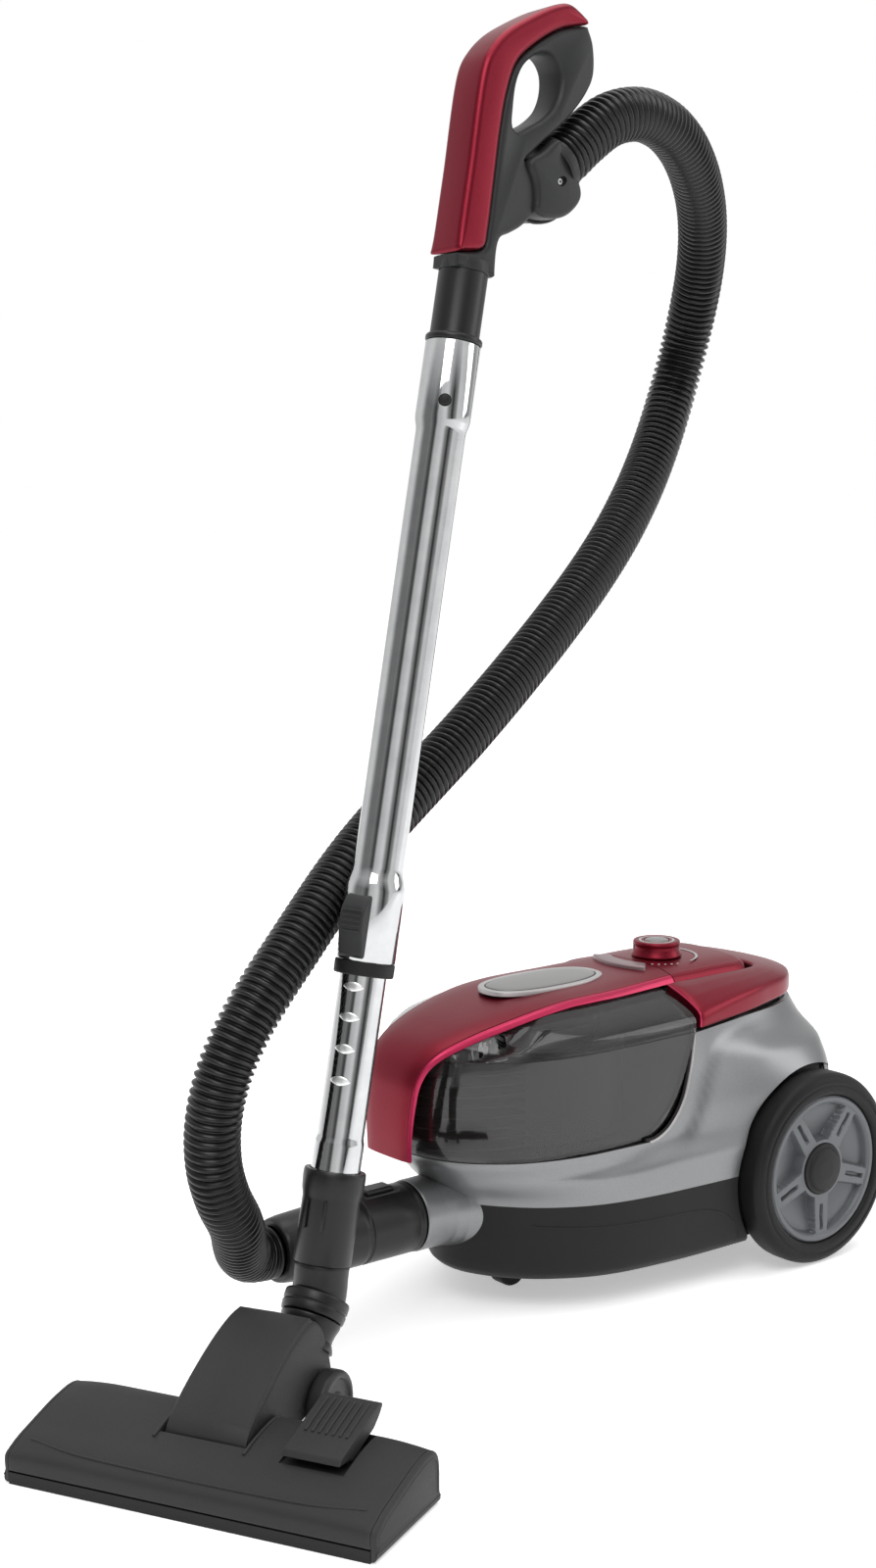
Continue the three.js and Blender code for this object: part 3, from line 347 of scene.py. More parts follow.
def catmull(P, n, closed=False):
    """centripetal-ish spline through the points, resampled to n points evenly along its length"""
    P = np.asarray(P, float)
    if closed:
        Q = np.vstack([P[-1], P, P[0], P[1]])
    else:
        Q = np.vstack([2 * P[0] - P[1], P, 2 * P[-1] - P[-2]])
    out = []
    for i in range(1, len(Q) - 2):
        p0, p1, p2, p3 = Q[i - 1], Q[i], Q[i + 1], Q[i + 2]
        t0 = 0.0
        t1 = t0 + max(np.linalg.norm(p1 - p0), 1e-6) ** 0.5
        t2 = t1 + max(np.linalg.norm(p2 - p1), 1e-6) ** 0.5
        t3 = t2 + max(np.linalg.norm(p3 - p2), 1e-6) ** 0.5
        for k in range(12):
            t = t1 + (t2 - t1) * k / 12
            a1 = (t1 - t) / (t1 - t0) * p0 + (t - t0) / (t1 - t0) * p1
            a2 = (t2 - t) / (t2 - t1) * p1 + (t - t1) / (t2 - t1) * p2
            a3 = (t3 - t) / (t3 - t2) * p2 + (t - t2) / (t3 - t2) * p3
            b1 = (t2 - t) / (t2 - t0) * a1 + (t - t0) / (t2 - t0) * a2
            b2 = (t3 - t) / (t3 - t1) * a2 + (t - t1) / (t3 - t1) * a3
            out.append((t2 - t) / (t2 - t1) * b1 + (t - t1) / (t2 - t1) * b2)
    out.append(Q[-2] if not closed else P[0])
    D = np.array(out)
    L = np.concatenate([[0], np.cumsum(np.linalg.norm(np.diff(D, axis=0), axis=1))])
    S = np.linspace(0, L[-1], n + 1)[:-1] if closed else np.linspace(0, L[-1], n)
    return np.stack([np.interp(S, L, D[:, k]) for k in range(D.shape[1])], 1)


def smooth_at(keys, vals, x):
    """monotone cubic through (keys, vals) at x; vals may be arrays"""
    keys = np.asarray(keys, float)
    V = np.asarray(vals, float)
    sh = V.shape[1:]
    V = V.reshape(len(keys), -1)
    h = np.diff(keys)
    d = np.diff(V, axis=0) / h[:, None]
    m = np.zeros_like(V)
    m[0], m[-1] = d[0], d[-1]
    for i in range(1, len(keys) - 1):
        s = d[i - 1] * d[i]
        w1, w2 = 2 * h[i] + h[i - 1], h[i] + 2 * h[i - 1]
        with np.errstate(divide="ignore", invalid="ignore"):
            hm = (w1 + w2) / (w1 / np.where(d[i - 1] == 0, 1, d[i - 1]) + w2 / np.where(d[i] == 0, 1, d[i]))
        m[i] = np.where(s > 0, hm, 0)
    i = int(np.clip(np.searchsorted(keys, x) - 1, 0, len(keys) - 2))
    t = (x - keys[i]) / h[i]
    t2, t3 = t * t, t ** 3
    r = (2 * t3 - 3 * t2 + 1) * V[i] + (t3 - 2 * t2 + t) * h[i] * m[i] + (-2 * t3 + 3 * t2) * V[i + 1] + (t3 - t2) * h[i] * m[i + 1]
    return r.reshape(sh)


def bevel(o, w, seg=3, ang=30.0):
    m = o.modifiers.new("edge", "BEVEL")
    m.width = w / 1000.0
    m.segments = seg
    m.limit_method = "ANGLE"
    m.angle_limit = math.radians(ang)
    m.harden_normals = False
    m.use_clamp_overlap = True
    return o


def bake(o, smooth=35.0):
    """applies the modifiers"""
    bpy.context.view_layer.update()
    dg = bpy.context.evaluated_depsgraph_get()
    me = bpy.data.meshes.new_from_object(o.evaluated_get(dg), depsgraph=dg)
    o.modifiers.clear()
    o.data = me
    me.polygons.foreach_set("use_smooth", [True] * len(me.polygons))
    me.set_sharp_from_angle(angle=math.radians(smooth))
    return o


def carve(o, *cutters, op="DIFFERENCE", smooth=35.0, own=False):
    for c in cutters:
        m = o.modifiers.new("cut", "BOOLEAN")
        m.operation = op
        m.solver = "EXACT"
        m.use_self = own
        m.object = c
    bake(o, smooth)
    for c in cutters:
        bpy.data.objects.remove(c)
    bm = bmesh.new()
    bm.from_mesh(o.data)
    bmesh.ops.remove_doubles(bm, verts=bm.verts, dist=2e-6)
    bmesh.ops.dissolve_degenerate(bm, edges=bm.edges, dist=2e-6)
    loose = [v for v in bm.verts if not v.link_faces]
    bmesh.ops.delete(bm, geom=loose, context="VERTS")
    bm.to_mesh(o.data)
    bm.free()
    o.data.polygons.foreach_set("use_smooth", [True] * len(o.data.polygons))
    o.data.set_sharp_from_angle(angle=math.radians(smooth))
    return o


def extr(name, pts, y0, y1, mat, fr=BODY, plane="xz", taper=None, smooth=35.0):
    """flat outline pulled along the third axis"""
    P = np.asarray(pts, float)
    def lift(t, k=1.0):
        if plane == "xz":
            return np.stack([P[:, 0], np.full(len(P), t), P[:, 1]], 1)
        if plane == "xy":
            return np.stack([P[:, 0], P[:, 1], np.full(len(P), t)], 1)
        return np.stack([np.full(len(P), t), P[:, 0], P[:, 1]], 1)
    v, f = closed_loft([lift(y0), lift(y1)])
    return obj_of(name, v, f, mat, fr, smooth)


def cuboid(name, lo, hi, mat, fr=BODY):
    return extr(name, [(lo[0], lo[1]), (hi[0], lo[1]), (hi[0], hi[1]), (lo[0], hi[1])], lo[2], hi[2], mat, fr, "xy")


def join_objs(name, objs):
    """one object out of several, each keeping its own material"""
    mats, v, f, mi = [], [], [], []
    for o in objs:
        if o.modifiers:
            bake(o)
        base = len(v)
        v += [tuple(o.matrix_world @ p.co) for p in o.data.vertices]
        local = []
        for m in o.data.materials:
            if m not in mats:
                mats.append(m)
            local.append(mats.index(m))
        for p in o.data.polygons:
            f.append(tuple(base + i for i in p.vertices))
            mi.append(local[p.material_index])
    me = bpy.data.meshes.new(name)
    me.from_pydata(v, [], f)
    me.validate()
    for m in mats:
        me.materials.append(m)
    me.polygons.foreach_set("material_index", mi)
    me.polygons.foreach_set("use_smooth", [True] * len(me.polygons))
    me.set_sharp_from_angle(angle=math.radians(35))
    for o in objs:
        bpy.data.objects.remove(o)
    out = bpy.data.objects.new(name, me)
    COL.objects.link(out)
    return out


def done(o, body, *replaced, slot=None):
    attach(o, body)
    if replaced:
        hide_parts(*replaced)
    return o


def tube_along(P, radii, seg=24, caps=True):
    """skin of round rings along points, with steady (parallel) frames"""
    P = np.asarray(P, float)
    T = np.gradient(P, axis=0)
    T /= np.linalg.norm(T, axis=1)[:, None]
    u = unit(np.cross(T[0], [0.3, 0.9, 0.2]))
    rings = []
    for i in range(len(P)):
        u = u - u.dot(T[i]) * T[i]
        u = unit(u)
        w = np.cross(T[i], u)
        a = np.arange(seg) * 2 * math.pi / seg
        rings.append(P[i] + radii[i] * (np.cos(a)[:, None] * u + np.sin(a)[:, None] * w))
    return closed_loft(rings, caps)


# ------------------------------------------------------------------ hose (the one free hose)
HOSE = [
    (-23.1, -74.3, 864.5), (-13.0, -73.9, 871.0), (3.4, -73.5, 883.8), (31.3, -72.7, 900.8), (63.0, -70.1, 907.4),
    (94.7, -63.3, 903.3), (123.8, -52.4, 893.0), (150.2, -38.3, 879.7), (174.4, -22.2, 864.5), (196.2, -5.0, 847.2),
    (215.0, 12.8, 827.0), (229.4, 30.1, 803.3), (238.2, 45.6, 775.9), (239.7, 56.7, 745.2), (233.4, 61.6, 713.5),
    (220.6, 60.4, 683.5), (203.1, 55.0, 656.4), (182.5, 47.3, 632.0), (159.9, 38.8, 609.8), (136.0, 29.9, 589.3),
    (110.9, 21.2, 570.0), (85.1, 12.6, 551.7), (58.8, 4.4, 534.0), (32.2, -3.4, 516.5), (5.3, -10.9, 499.3), (-21.7, -18.0, 482.1),
    (-49.0, -24.9, 465.2), (-76.4, -31.5, 448.6), (-104.2, -37.6, 432.2), (-132.0, -43.1, 415.7), (-159.5, -48.2, 398.6),
    (-186.3, -53.6, 380.5), (-212.1, -59.8, 361.2), (-237.0, -66.7, 341.1), (-261.5, -72.9, 320.2), (-285.2, -76.9, 297.9),
    (-305.9, -78.2, 272.6), (-320.6, -76.6, 243.4), (-326.4, -72.7, 211.6), (-322.3, -66.3, 179.8), (-309.4, -57.2, 151.2),
    (-291.4, -44.9, 126.8), (-282.6, -35.9, 114.7), (-273.5, -24.2, 101.8), (-263.4, -12.5, 89.9), (-251.6, -3.6, 81.3),
    (-237.4, 0.0, 78.0), (-228.4, 0.0, 78.0),
]
_hp = catmull(HOSE, 2400)
_L = np.concatenate([[0], np.cumsum(np.linalg.norm(np.diff(_hp, axis=0), axis=1))])
HOSE_LEN = float(_L[-1])
RIBS = int(round(HOSE_LEN / 5.6))
_s, _rad = [], []
for _k in range(RIBS):
    for _q, _rr in ((0.04, 16.9), (0.26, 18.9), (0.42, 19.75), (0.60, 19.75), (0.76, 18.9), (0.96, 16.9)):
        _s.append((_k + _q) / RIBS * HOSE_LEN)
        _rad.append(_rr)
_c3 = np.stack([np.interp(_s, _L, _hp[:, k]) for k in range(3)], 1)
_ends = np.vstack([_hp[0], _c3, _hp[-1]])
_rad = [16.9] + _rad + [16.9]
_v, _f = tube_along(_ends, _rad, 28)
hose = obj_of("hose_corrugated", _v, _f, HOSEM, smooth=50)
done(hose, "canister", "hose", slot="hose")

# ------------------------------------------------------------------ canister: outlines
H = {
    26: [[-58, 0], [-57, 11], [-52, 24], [-44, 38], [-27, 58], [-10, 71], [13, 84], [38, 92], [70, 97], [99, 100], [150, 102], [200, 102], [236, 98], [258, 88], [271, 69], [276, 37], [277, 0]],
    34: [[-66, 0], [-64, 14], [-58, 28], [-49, 42], [-30, 63], [-13, 77], [11, 90], [37, 98], [70, 103], [99, 106], [150, 109], [200, 109], [238, 105], [261, 94], [275, 74], [281, 40], [282, 0]],
    86: [[-68, 0], [-66, 14], [-60, 28], [-51, 42], [-32, 63], [-14, 77], [10, 90], [36, 98], [70, 104], [99, 107], [150, 111], [200, 112], [240, 108], [264, 97], [278, 75], [284, 40], [285, 0]],
    108: [[-86, 0], [-83, 17], [-76, 33], [-66, 48], [-45, 68], [-26, 80], [3, 91], [36, 97], [70, 103], [99, 107], [150, 112], [200, 115], [240, 112], [266, 99], [281, 76], [288, 40], [289, 0]],
    127: [[-100, 0], [-97, 20], [-89, 38], [-76, 55], [-54, 73], [-30, 84], [2, 92], [36, 95], [70, 97], [99, 100], [150, 108], [200, 114], [240, 112], [267, 100], [283, 77], [290, 40], [291, 0]],
    150: [[-100, 0], [-97, 20], [-89, 38], [-76, 55], [-54, 73], [-30, 84], [2, 92], [36, 95], [70, 96], [99, 98], [150, 104], [200, 112], [240, 111], [267, 99], [284, 76], [291, 40], [292, 0]],
    175: [[-100, 0], [-97, 20], [-89, 38], [-76, 55], [-54, 73], [-30, 84], [2, 92], [36, 95], [70, 96], [99, 96], [150, 97], [200, 101], [240, 98], [266, 88], [283, 69], [291, 37], [292, 0]],
    195: [[-100, 0], [-97, 20], [-89, 38], [-76, 55], [-54, 73], [-30, 84], [2, 92], [36, 95], [70, 95], [99, 95], [150, 90], [190, 83], [232, 76], [262, 64], [280, 47], [289, 25], [290, 0]],
    206: [[-100, 0], [-97, 20], [-89, 38], [-76, 55], [-54, 73], [-30, 84], [2, 92], [36, 94], [70, 94], [99, 94], [150, 86], [190, 78], [232, 69], [262, 56], [279, 38], [287, 18], [288, 0]],
}
B = {
    128: [[-108, 0], [-105, 20], [-96, 38], [-82, 54], [-60, 72], [-34, 83.5], [2, 90.5], [38, 93], [64, 93]],
    145: [[-115, 0], [-112, 21], [-103, 40], [-88, 56], [-65, 74], [-37, 85], [2, 91.5], [40, 93.6], [90, 93.6]],
    174: [[-115, 0], [-112, 21], [-103, 40], [-88, 56], [-65, 74], [-37, 85], [2, 92], [45, 94], [103, 94]],
    207: [[-110, 0], [-107, 21], [-98, 40], [-84, 56], [-62, 73], [-35, 85], [2, 92], [50, 94], [115, 93.4]],
    216: [[-106, 0], [-103, 20], [-94, 38], [-80, 54], [-59, 70], [-33, 82], [2, 89], [50, 91.5], [117, 91.5]],
    225: [[-90, 0], [-87, 17], [-79, 31], [-66, 43], [-48, 54], [-26, 64], [2, 70], [50, 71], [117, 70]],
    231.5: [[-60, 0], [-58, 13], [-53, 23], [-46, 31], [-34, 37], [-18, 41], [2, 43], [50, 44], [117, 42]],
}


def closed_plan(half, n):
    """outline closed at both ends on the centre plane, as n points starting at the front"""
    P = [(x, y) for x, y in half] + [(x, -y) for x, y in half[1:-1]][::-1]
    return catmull(P, n, True)


def open_plan(half, n, back=9):
    """outline with a straight back: n points round the front, then the back's"""
    P = [(x, -y) for x, y in half[1:]][::-1] + [(x, y) for x, y in half]
    # start at the -y rear corner, round the front, to the +y rear corner
    P = [(x, -y) for x, y in half[::-1]][:-1] + [(x, y) for x, y in half]
    C = catmull(P, n)
    e, s = C[-1], C[0]
    bk = [e + (s - e) * k / (back + 1) for k in range(1, back + 1)]
    return np.vstack([C, bk])


def offset(P, d):
    """moves a closed outline inwards by d along its normals"""
    a, b = np.roll(P, 1, 0), np.roll(P, -1, 0)
    t = b - a
    t /= np.linalg.norm(t, axis=1)[:, None]
    n = np.stack([t[:, 1], -t[:, 0]], 1)
    area = 0.5 * np.sum(P[:, 0] * np.roll(P[:, 1], -1) - np.roll(P[:, 0], -1) * P[:, 1])
    return P - n * d if area > 0 else P + n * d


NP = 168
HK = sorted(H)
HP = {k: closed_plan(H[k], NP) for k in HK}


def shell_ring(z, inset=0.0, zz=None):
    c = smooth_at(HK, [HP[k] for k in HK], min(max(z, 26), 206))
    if inset:
        c = offset(c, inset)
    return np.column_stack([c, np.full(len(c), z if zz is None else zz)])


CREASE = np.array([(-150, 118), (-90, 115), (-42, 112.5), (20, 111), (60, 113), (88, 119), (100, 126), (109, 137), (118, 153), (127, 171), (138, 185), (158, 194), (198, 198), (240, 199), (300, 199)], float)
CREASE = catmull(CREASE, 300)


def crease_push(P):
    """a soft step: the collar near the bin sits lower than the body outside the crease"""
    out = P.copy()
    c = smooth_at(HK, [HP[k] for k in HK], float(np.clip(P[0, 2], 26, 206)))
    nrm = c - offset(c, 1.0)
    for i, p in enumerate(P):
        d = CREASE - np.array([p[0], p[2]])
        k = int(np.argmin((d ** 2).sum(1)))
        t = CREASE[min(k + 1, 299)] - CREASE[max(k - 1, 0)]
        s = (p[0] - CREASE[k, 0]) * t[1] - (p[2] - CREASE[k, 1]) * t[0]
        s /= max(np.linalg.norm(t), 1e-6)  # positive outside (below and behind the crease)
        w = 0.5 + 0.5 * math.tanh(s / 3.2)
        fade = 1.0 - np.clip((p[0] - 185) / 60, 0, 1)
        fade *= np.clip((p[0] + 95) / 50, 0, 1)
        bulge = 2.4 * w * math.exp(-max(s, 0) / 26.0) - 1.3 * (1 - w) * math.exp(-max(-s, 0) / 16.0)
        out[i, :2] += nrm[i] * bulge * fade
    return out


def wheel_arch(name, r, y0, y1):
    v, f = lathe([(0, y0), (r, y0), (r, y1), (0, y1)], 96)
    fr = Fr([232, 0, 79.5], [1, 0, 0], [0, 0, -1], [0, 1, 0])
    return obj_of(name, v, f, BLACK, fr)


def cyl(name, r, a, b, axis, at, mat=None, seg=64):
    v, f = lathe([(0, a), (r, a), (r, b), (0, b)], seg)
    fr = {"x": Fr(at, [0, 1, 0], [0, 0, 1], [1, 0, 0]), "y": Fr(at, [1, 0, 0], [0, 0, -1], [0, 1, 0]), "z": Fr(at, [1, 0, 0], [0, 1, 0], [0, 0, 1])}[axis]
    return obj_of(name, v, f, mat or BLACK, fr)


# silver upper shell
WEDGE = [(-220, 127.4), (60, 127.4), (68, 127.8), (76, 130.4), (85, 136), (94, 146), (101, 158), (107, 174), (112, 192), (117.5, 213), (-220, 213)]
_zs = list(np.linspace(86.4, 205, 44)) + [205.8, 206]
_rings = [crease_push(shell_ring(z)) for z in _zs]
_rings[-1][:, :2] = offset(_rings[-1][:, :2], 0.9)
_v, _f = closed_loft(_rings)
shell = obj_of("shell_silver", _v, _f, SILVER)
_zs2 = [80.0] + list(np.linspace(92, 200, 20)) + [212.0]
_v, _f = closed_loft([shell_ring(float(np.clip(z, 86, 206)), 5.2 if z > 190 else 3.6, z) for z in _zs2])
_in = obj_of("cutter_inner", _v, _f, SILVER)
_w = extr("cutter_wedge", WEDGE, -150, 150, SILVER)
carve(shell, _in, _w, wheel_arch("cut_a", 84, 92.5, 160), wheel_arch("cut_b", 84, -160, -92.5), cyl("cut_p", 28.2, -140, -46, "x", [0, 0, 78]),
      cuboid("cut_g", (270, -42, 118), (310, 42, 184), SILVER), cyl("cut_o", 9.4, 262, 310, "x", [0, 58, 104]), smooth=32)
done(shell, "canister", "upper_shell", slot="silver")

# bright lip, a light tube that paints the highlight on the seat's edge, and black gasket along the bin's seat, both
# sides
_lip_highlight, _gas = [], []
for _sgn in (-1, 1):
    _path = catmull([(p[0], p[1]) for p in WEDGE[1:10]], 60)
    _q = []
    for _x, _z in _path:
        _c = smooth_at(HK, [HP[k] for k in HK], _z)
        _side = _c[_c[:, 1] * _sgn > 0]
        _o = np.argsort(_side[:, 0])
        _q.append((_x, float(np.interp(_x, _side[_o, 0], _side[_o, 1])), _z))
    _q = np.array(_q)
    _in2 = _q.copy()
    _in2[:, 1] -= _sgn * 1.6
    _v, _f = tube_along(_q[2:-2] - np.array([0, _sgn * 0.9, 0]), [1.1] * (len(_q) - 4), 10)
    _lip_highlight.append(obj_of("lip", _v, _f, TRIM_AND_HIGHLIGHT))
    _nrm = np.gradient(_q, axis=0)
    _up = np.stack([-_nrm[:, 2], np.zeros(len(_q)), _nrm[:, 0]], 1)
    _up /= np.linalg.norm(_up, axis=1)[:, None]
    _v, _f = tube_along(_in2 + _up * 1.9, [1.25] * len(_q), 10)
    _gas.append(obj_of("gasket", _v, _f, BLACK))
seat_highlight_and_gasket = join_objs("bin_seat_highlight_and_gasket", _lip_highlight + _gas)
done(seat_highlight_and_gasket, "canister", slot="silver")

# black base pan with a raised side line and arch liners
_rb = []
for _z in (26, 27, 29, 31.5, 34, 40, 48, 56, 64, 72, 79, 84, 86):
    _r1 = shell_ring(_z)
    if _z == 26:
        _r1[:, :2] = offset(_r1[:, :2], 1.0)
    _rb.append(_r1)
_v, _f = closed_loft(_rb)
pan = obj_of("base_pan_shape", _v, _f, BLACK)
_v, _f = closed_loft([shell_ring(_z, 3.0, _z) for _z in (29.0, 34.0, 60.0, 86.0)] + [shell_ring(86.0, 3.0, 92.0)])
_in = obj_of("cutter_pan", _v, _f, BLACK)
carve(pan, _in, wheel_arch("cut_c", 84, 92.8, 160), wheel_arch("cut_d", 84, -160, -92.8), cyl("cut_q", 28.3, -140, -46, "x", [0, 0, 78]), cyl("cut_r", 24, 20, 35, "z", [12, 0, 0]))
_parts = [pan]
for _sgn in (-1, 1):
    # raised line along the side, which drops behind the wheel
    _pts = [(-30, 71), (10, 68.5), (50, 67), (90, 66.5), (118, 64), (136, 57), (148, 45), (152, 34)]
    _pp = catmull(_pts, 70)
    _q = []
    for _x, _z in _pp:
        _c = smooth_at(HK, [HP[k] for k in HK], _z)
        _side = _c[_c[:, 1] * _sgn > 0]
        _o = np.argsort(_side[:, 0])
        _q.append((_x, float(np.interp(_x, _side[_o, 0], _side[_o, 1])) - _sgn * 0.25, _z))
    _v, _f = tube_along(_q, [0.9] * len(_q), 8)
    _parts.append(obj_of("line", _v, _f, BLACK))
    # wheel arch liner: a dished wall
    _v, _f = lathe([(0, 0), (60, 0), (78, 0.2), (83.2, 1.6), (83.6, 2.8), (0, 2.8)], 96)
    _l = obj_of("liner", _v, _f, BLACK, Fr([232, _sgn * 92.8, 79.5], [1, 0, 0], [0, 0, 1], [0, -_sgn, 0]))
    carve(_l, extr("cutk", [(120, 26.2), (262, 26.2), (262, 168), (120, 168)], -100, 100, BLACK), op="INTERSECT")
    _parts.append(_l)
# skids and screw posts under the pan
for _x, _y in ((60, 55), (60, -55), (240, 60), (240, -60)):
    _v, _f = lathe([(0, 24.6), (7, 24.6), (9, 26.4), (9, 28.5), (0, 28.5)], 32)
    _parts.append(obj_of("pad", _v + np.array([_x, _y, 0]), _f, BLACK))
base = join_objs("base_pan_moulded", _parts)
done(base, "canister", "base_pan", slot="black")

# silver hose port with its flare into the shell
_pp = rounded([(22.4, -50), (22.4, -98.6), (26.2, -98.6), (26.2, -101.6), (27.4, -102), (28.0, -100.5), (28.0, -84), (28.6, -74), (31, -64), (36, -54), (36, -50)], 1.0, 3)
_v, _f = lathe([(r, z) for r, z in _pp], 96, True)
port = obj_of("hose_port_flared", _v, _f, SILVER, Fr([0, 0, 78], [0, 1, 0], [0, 0, 1], [1, 0, 0]))
done(port, "canister", "hose_port", slot="silver")

# cuff: satin black, slightly waisted, with a lip and finger grooves, and its snap button
_cp = [(19, -228), (22.6, -228), (23.6, -227), (24.4, -224), (25.2, -218), (25.9, -204), (26.5, -188), (26.8, -170), (27.0, -160), (27.0, -156), (26.3, -155), (26.3, -153.4), (27.1, -152.4), (27.2, -126), (27.2, -110), (26.6, -109), (26.6, -107), (27.2, -106), (27.2, -104), (26.6, -103.2), (21.6, -103.2), (21.4, -66), (18, -66), (18, -220)]
_v, _f = lathe(_cp, 96, True)
cuff = obj_of("hose_cuff_turned", _v, _f, SATIN, Fr([0, 0, 78], [0, 1, 0], [0, 0, 1], [1, 0, 0]))
carve(cuff, cuboid("cut_s", (-146, -7.4, 98), (-120, 7.4, 120), SATIN))
_cups = [cuff]
for _k in (-1, 1):
    _o = bevel(cuboid("pad", (-150, _k * 9.4 - 0.8, 102.2), (-116, _k * 9.4 + 0.8, 104.6), SATIN), 0.5, 2)
    _cups.append(_o)
cuff = join_objs("hose_cuff_shape", _cups)
done(cuff, "hose_cuff", "hose_cuff", slot="satin")
_btn = bevel(cuboid("cuff_button_cap", (-145.4, -6.8, 100.7), (-120.6, 6.8, 108), SATIN), 1.6, 4)
done(_btn, "cuff_button", "cuff_button", slot="satin")

# ------------------------------------------------------------------ bin
BK = sorted(B)
BP = {k: open_plan(B[k], 120, 11) for k in BK}


def bin_ring(z, inset=0.0, zz=None):
    c = smooth_at(BK, [BP[k] for k in BK], float(np.clip(z, 128, 231.5)))
    if inset:
        c = offset(c, inset)
    c = np.array(c, float)
    c[:, 0] = np.where(c[:, 0] < -50, -50 + (c[:, 0] + 50) * 0.88, c[:, 0])
    return np.column_stack([c, np.full(len(c), z if zz is None else zz)])


# red cover over the bin, and the deck behind it, from one section
SPINE = [(-122, 130, 27, 3), (-123, 150, 28, 4), (-122, 174, 30, 5), (-119.5, 192, 32, 6), (-113, 206, 35, 7), (-101, 216.5, 39, 8), (-76, 226.5, 46, 8), (-44, 234.5, 52, 8), (-12, 240.2, 55, 8), (16, 242.8, 55, 8), (36, 243.2, 55, 8), (70, 243.6, 54, 8.5), (110, 245, 51, 9.5), (134, 246, 50, 10), (160, 246, 50, 10), (190, 246, 50, 10), (212, 245.4, 49, 10), (221, 244.6, 46.5, 9.5), (225.5, 242.5, 43, 8.5)]
SP = catmull(SPINE, 260)


def drop(f):
    a = abs(f)
    if a < 0.7:
        return 0.16 * (a / 0.7) ** 3
    if a < 0.885:
        return 0.16 + 0.26 * (a - 0.7) / 0.185
    if a < 0.905:
        return 0.42 + 0.14 * math.sin((a - 0.885) / 0.02 * math.pi) + 0.05 * (a - 0.885) / 0.02
    return 0.47 + 0.53 * ((a - 0.905) / 0.095) ** 1.6


_zs = [128, 128.6, 130, 133, 138, 145, 153, 162, 172, 182, 192, 200, 205.6, 207]
_rings = [bin_ring(z) for z in _zs]
_rings[0][:, :2] = offset(_rings[0][:, :2], 1.6)
_rings[1][:, :2] = offset(_rings[1][:, :2], 0.5)
_v, _f = closed_loft(_rings)
cup = obj_of("bin_cup_clear", _v, _f, SMOKE)
_v, _f = closed_loft([bin_ring(z, 2.4, zz) for z, zz in ((131, 131), (138, 138), (150, 150), (165, 165), (180, 180), (195, 195), (207, 213))])
carve(cup, obj_of("cut_t", _v, _f, SMOKE), smooth=40)
done(cup, "dust_bin", "bin_cup", slot="smoke")
_zs = [207.5, 209, 212, 216, 219, 222, 225, 228, 231.5]
_v, _f = closed_loft([bin_ring(z) for z in _zs])


_sq = SP[SP[:, 1] > 196]


def lifted(v, low=0.0):
    """raises the rear of the hood up to the cover's edge, and keeps its front under the cover's slope"""
    v = np.array(v, float)
    t = np.clip((v[:, 2] - 212) / 19.5, 0, 1)
    u = np.clip((v[:, 0] + 60) / 50, 0, 1)
    v[:, 2] += 4.5 * t * t * (3 - 2 * t) * u * u * (3 - 2 * u)
    zc, wc, dc = (np.interp(v[:, 0], _sq[:, 0], _sq[:, q]) for q in (1, 2, 3))
    f = np.minimum(np.abs(v[:, 1]) / wc, 1.0)
    lim = zc - dc * np.array([drop(x) for x in f]) - np.where(f < 1, 3.6, 0.8 + 10 * np.clip((-20 - v[:, 0]) / 30, 0, 1))
    cap = lim - low - 0.02 * (231.5 - v[:, 2])
    near = v[:, 0] < 10
    v[:, 2] = np.where(near, np.minimum(v[:, 2], cap), v[:, 2])
    return v


hood = obj_of("bin_hood_clear", lifted(_v), _f, HOOD)
_v, _f = closed_loft([bin_ring(z, 2.6, zz) for z, zz in ((207.5, 200), (212, 210), (216, 213.6), (222, 219.4), (225, 222.6), (231.5, 229))])
carve(hood, obj_of("cut_u", lifted(_v, 2.4), _f, HOOD), smooth=40)
done(hood, "dust_bin", "bin_lid", slot="smoke")

FS = [-1, -0.985, -0.965, -0.94, -0.915, -0.905, -0.895, -0.885, -0.86, -0.8, -0.7, -0.55, -0.4, -0.2, 0, 0.2, 0.4, 0.55, 0.7, 0.8, 0.86, 0.885, 0.895, 0.905, 0.915, 0.94, 0.965, 0.985, 1]


def cover_rows(S):
    rows = []
    for i, (x, z, w, d) in enumerate(S):
        a, b = S[max(i - 1, 0)], S[min(i + 1, len(S) - 1)]
        l = math.hypot(b[0] - a[0], b[1] - a[1])
        nx, nz = -(b[1] - a[1]) / l, (b[0] - a[0]) / l
        rows.append([(x - nx * d * drop(f), f * w, z - nz * d * drop(f)) for f in FS])
    return np.array(rows)


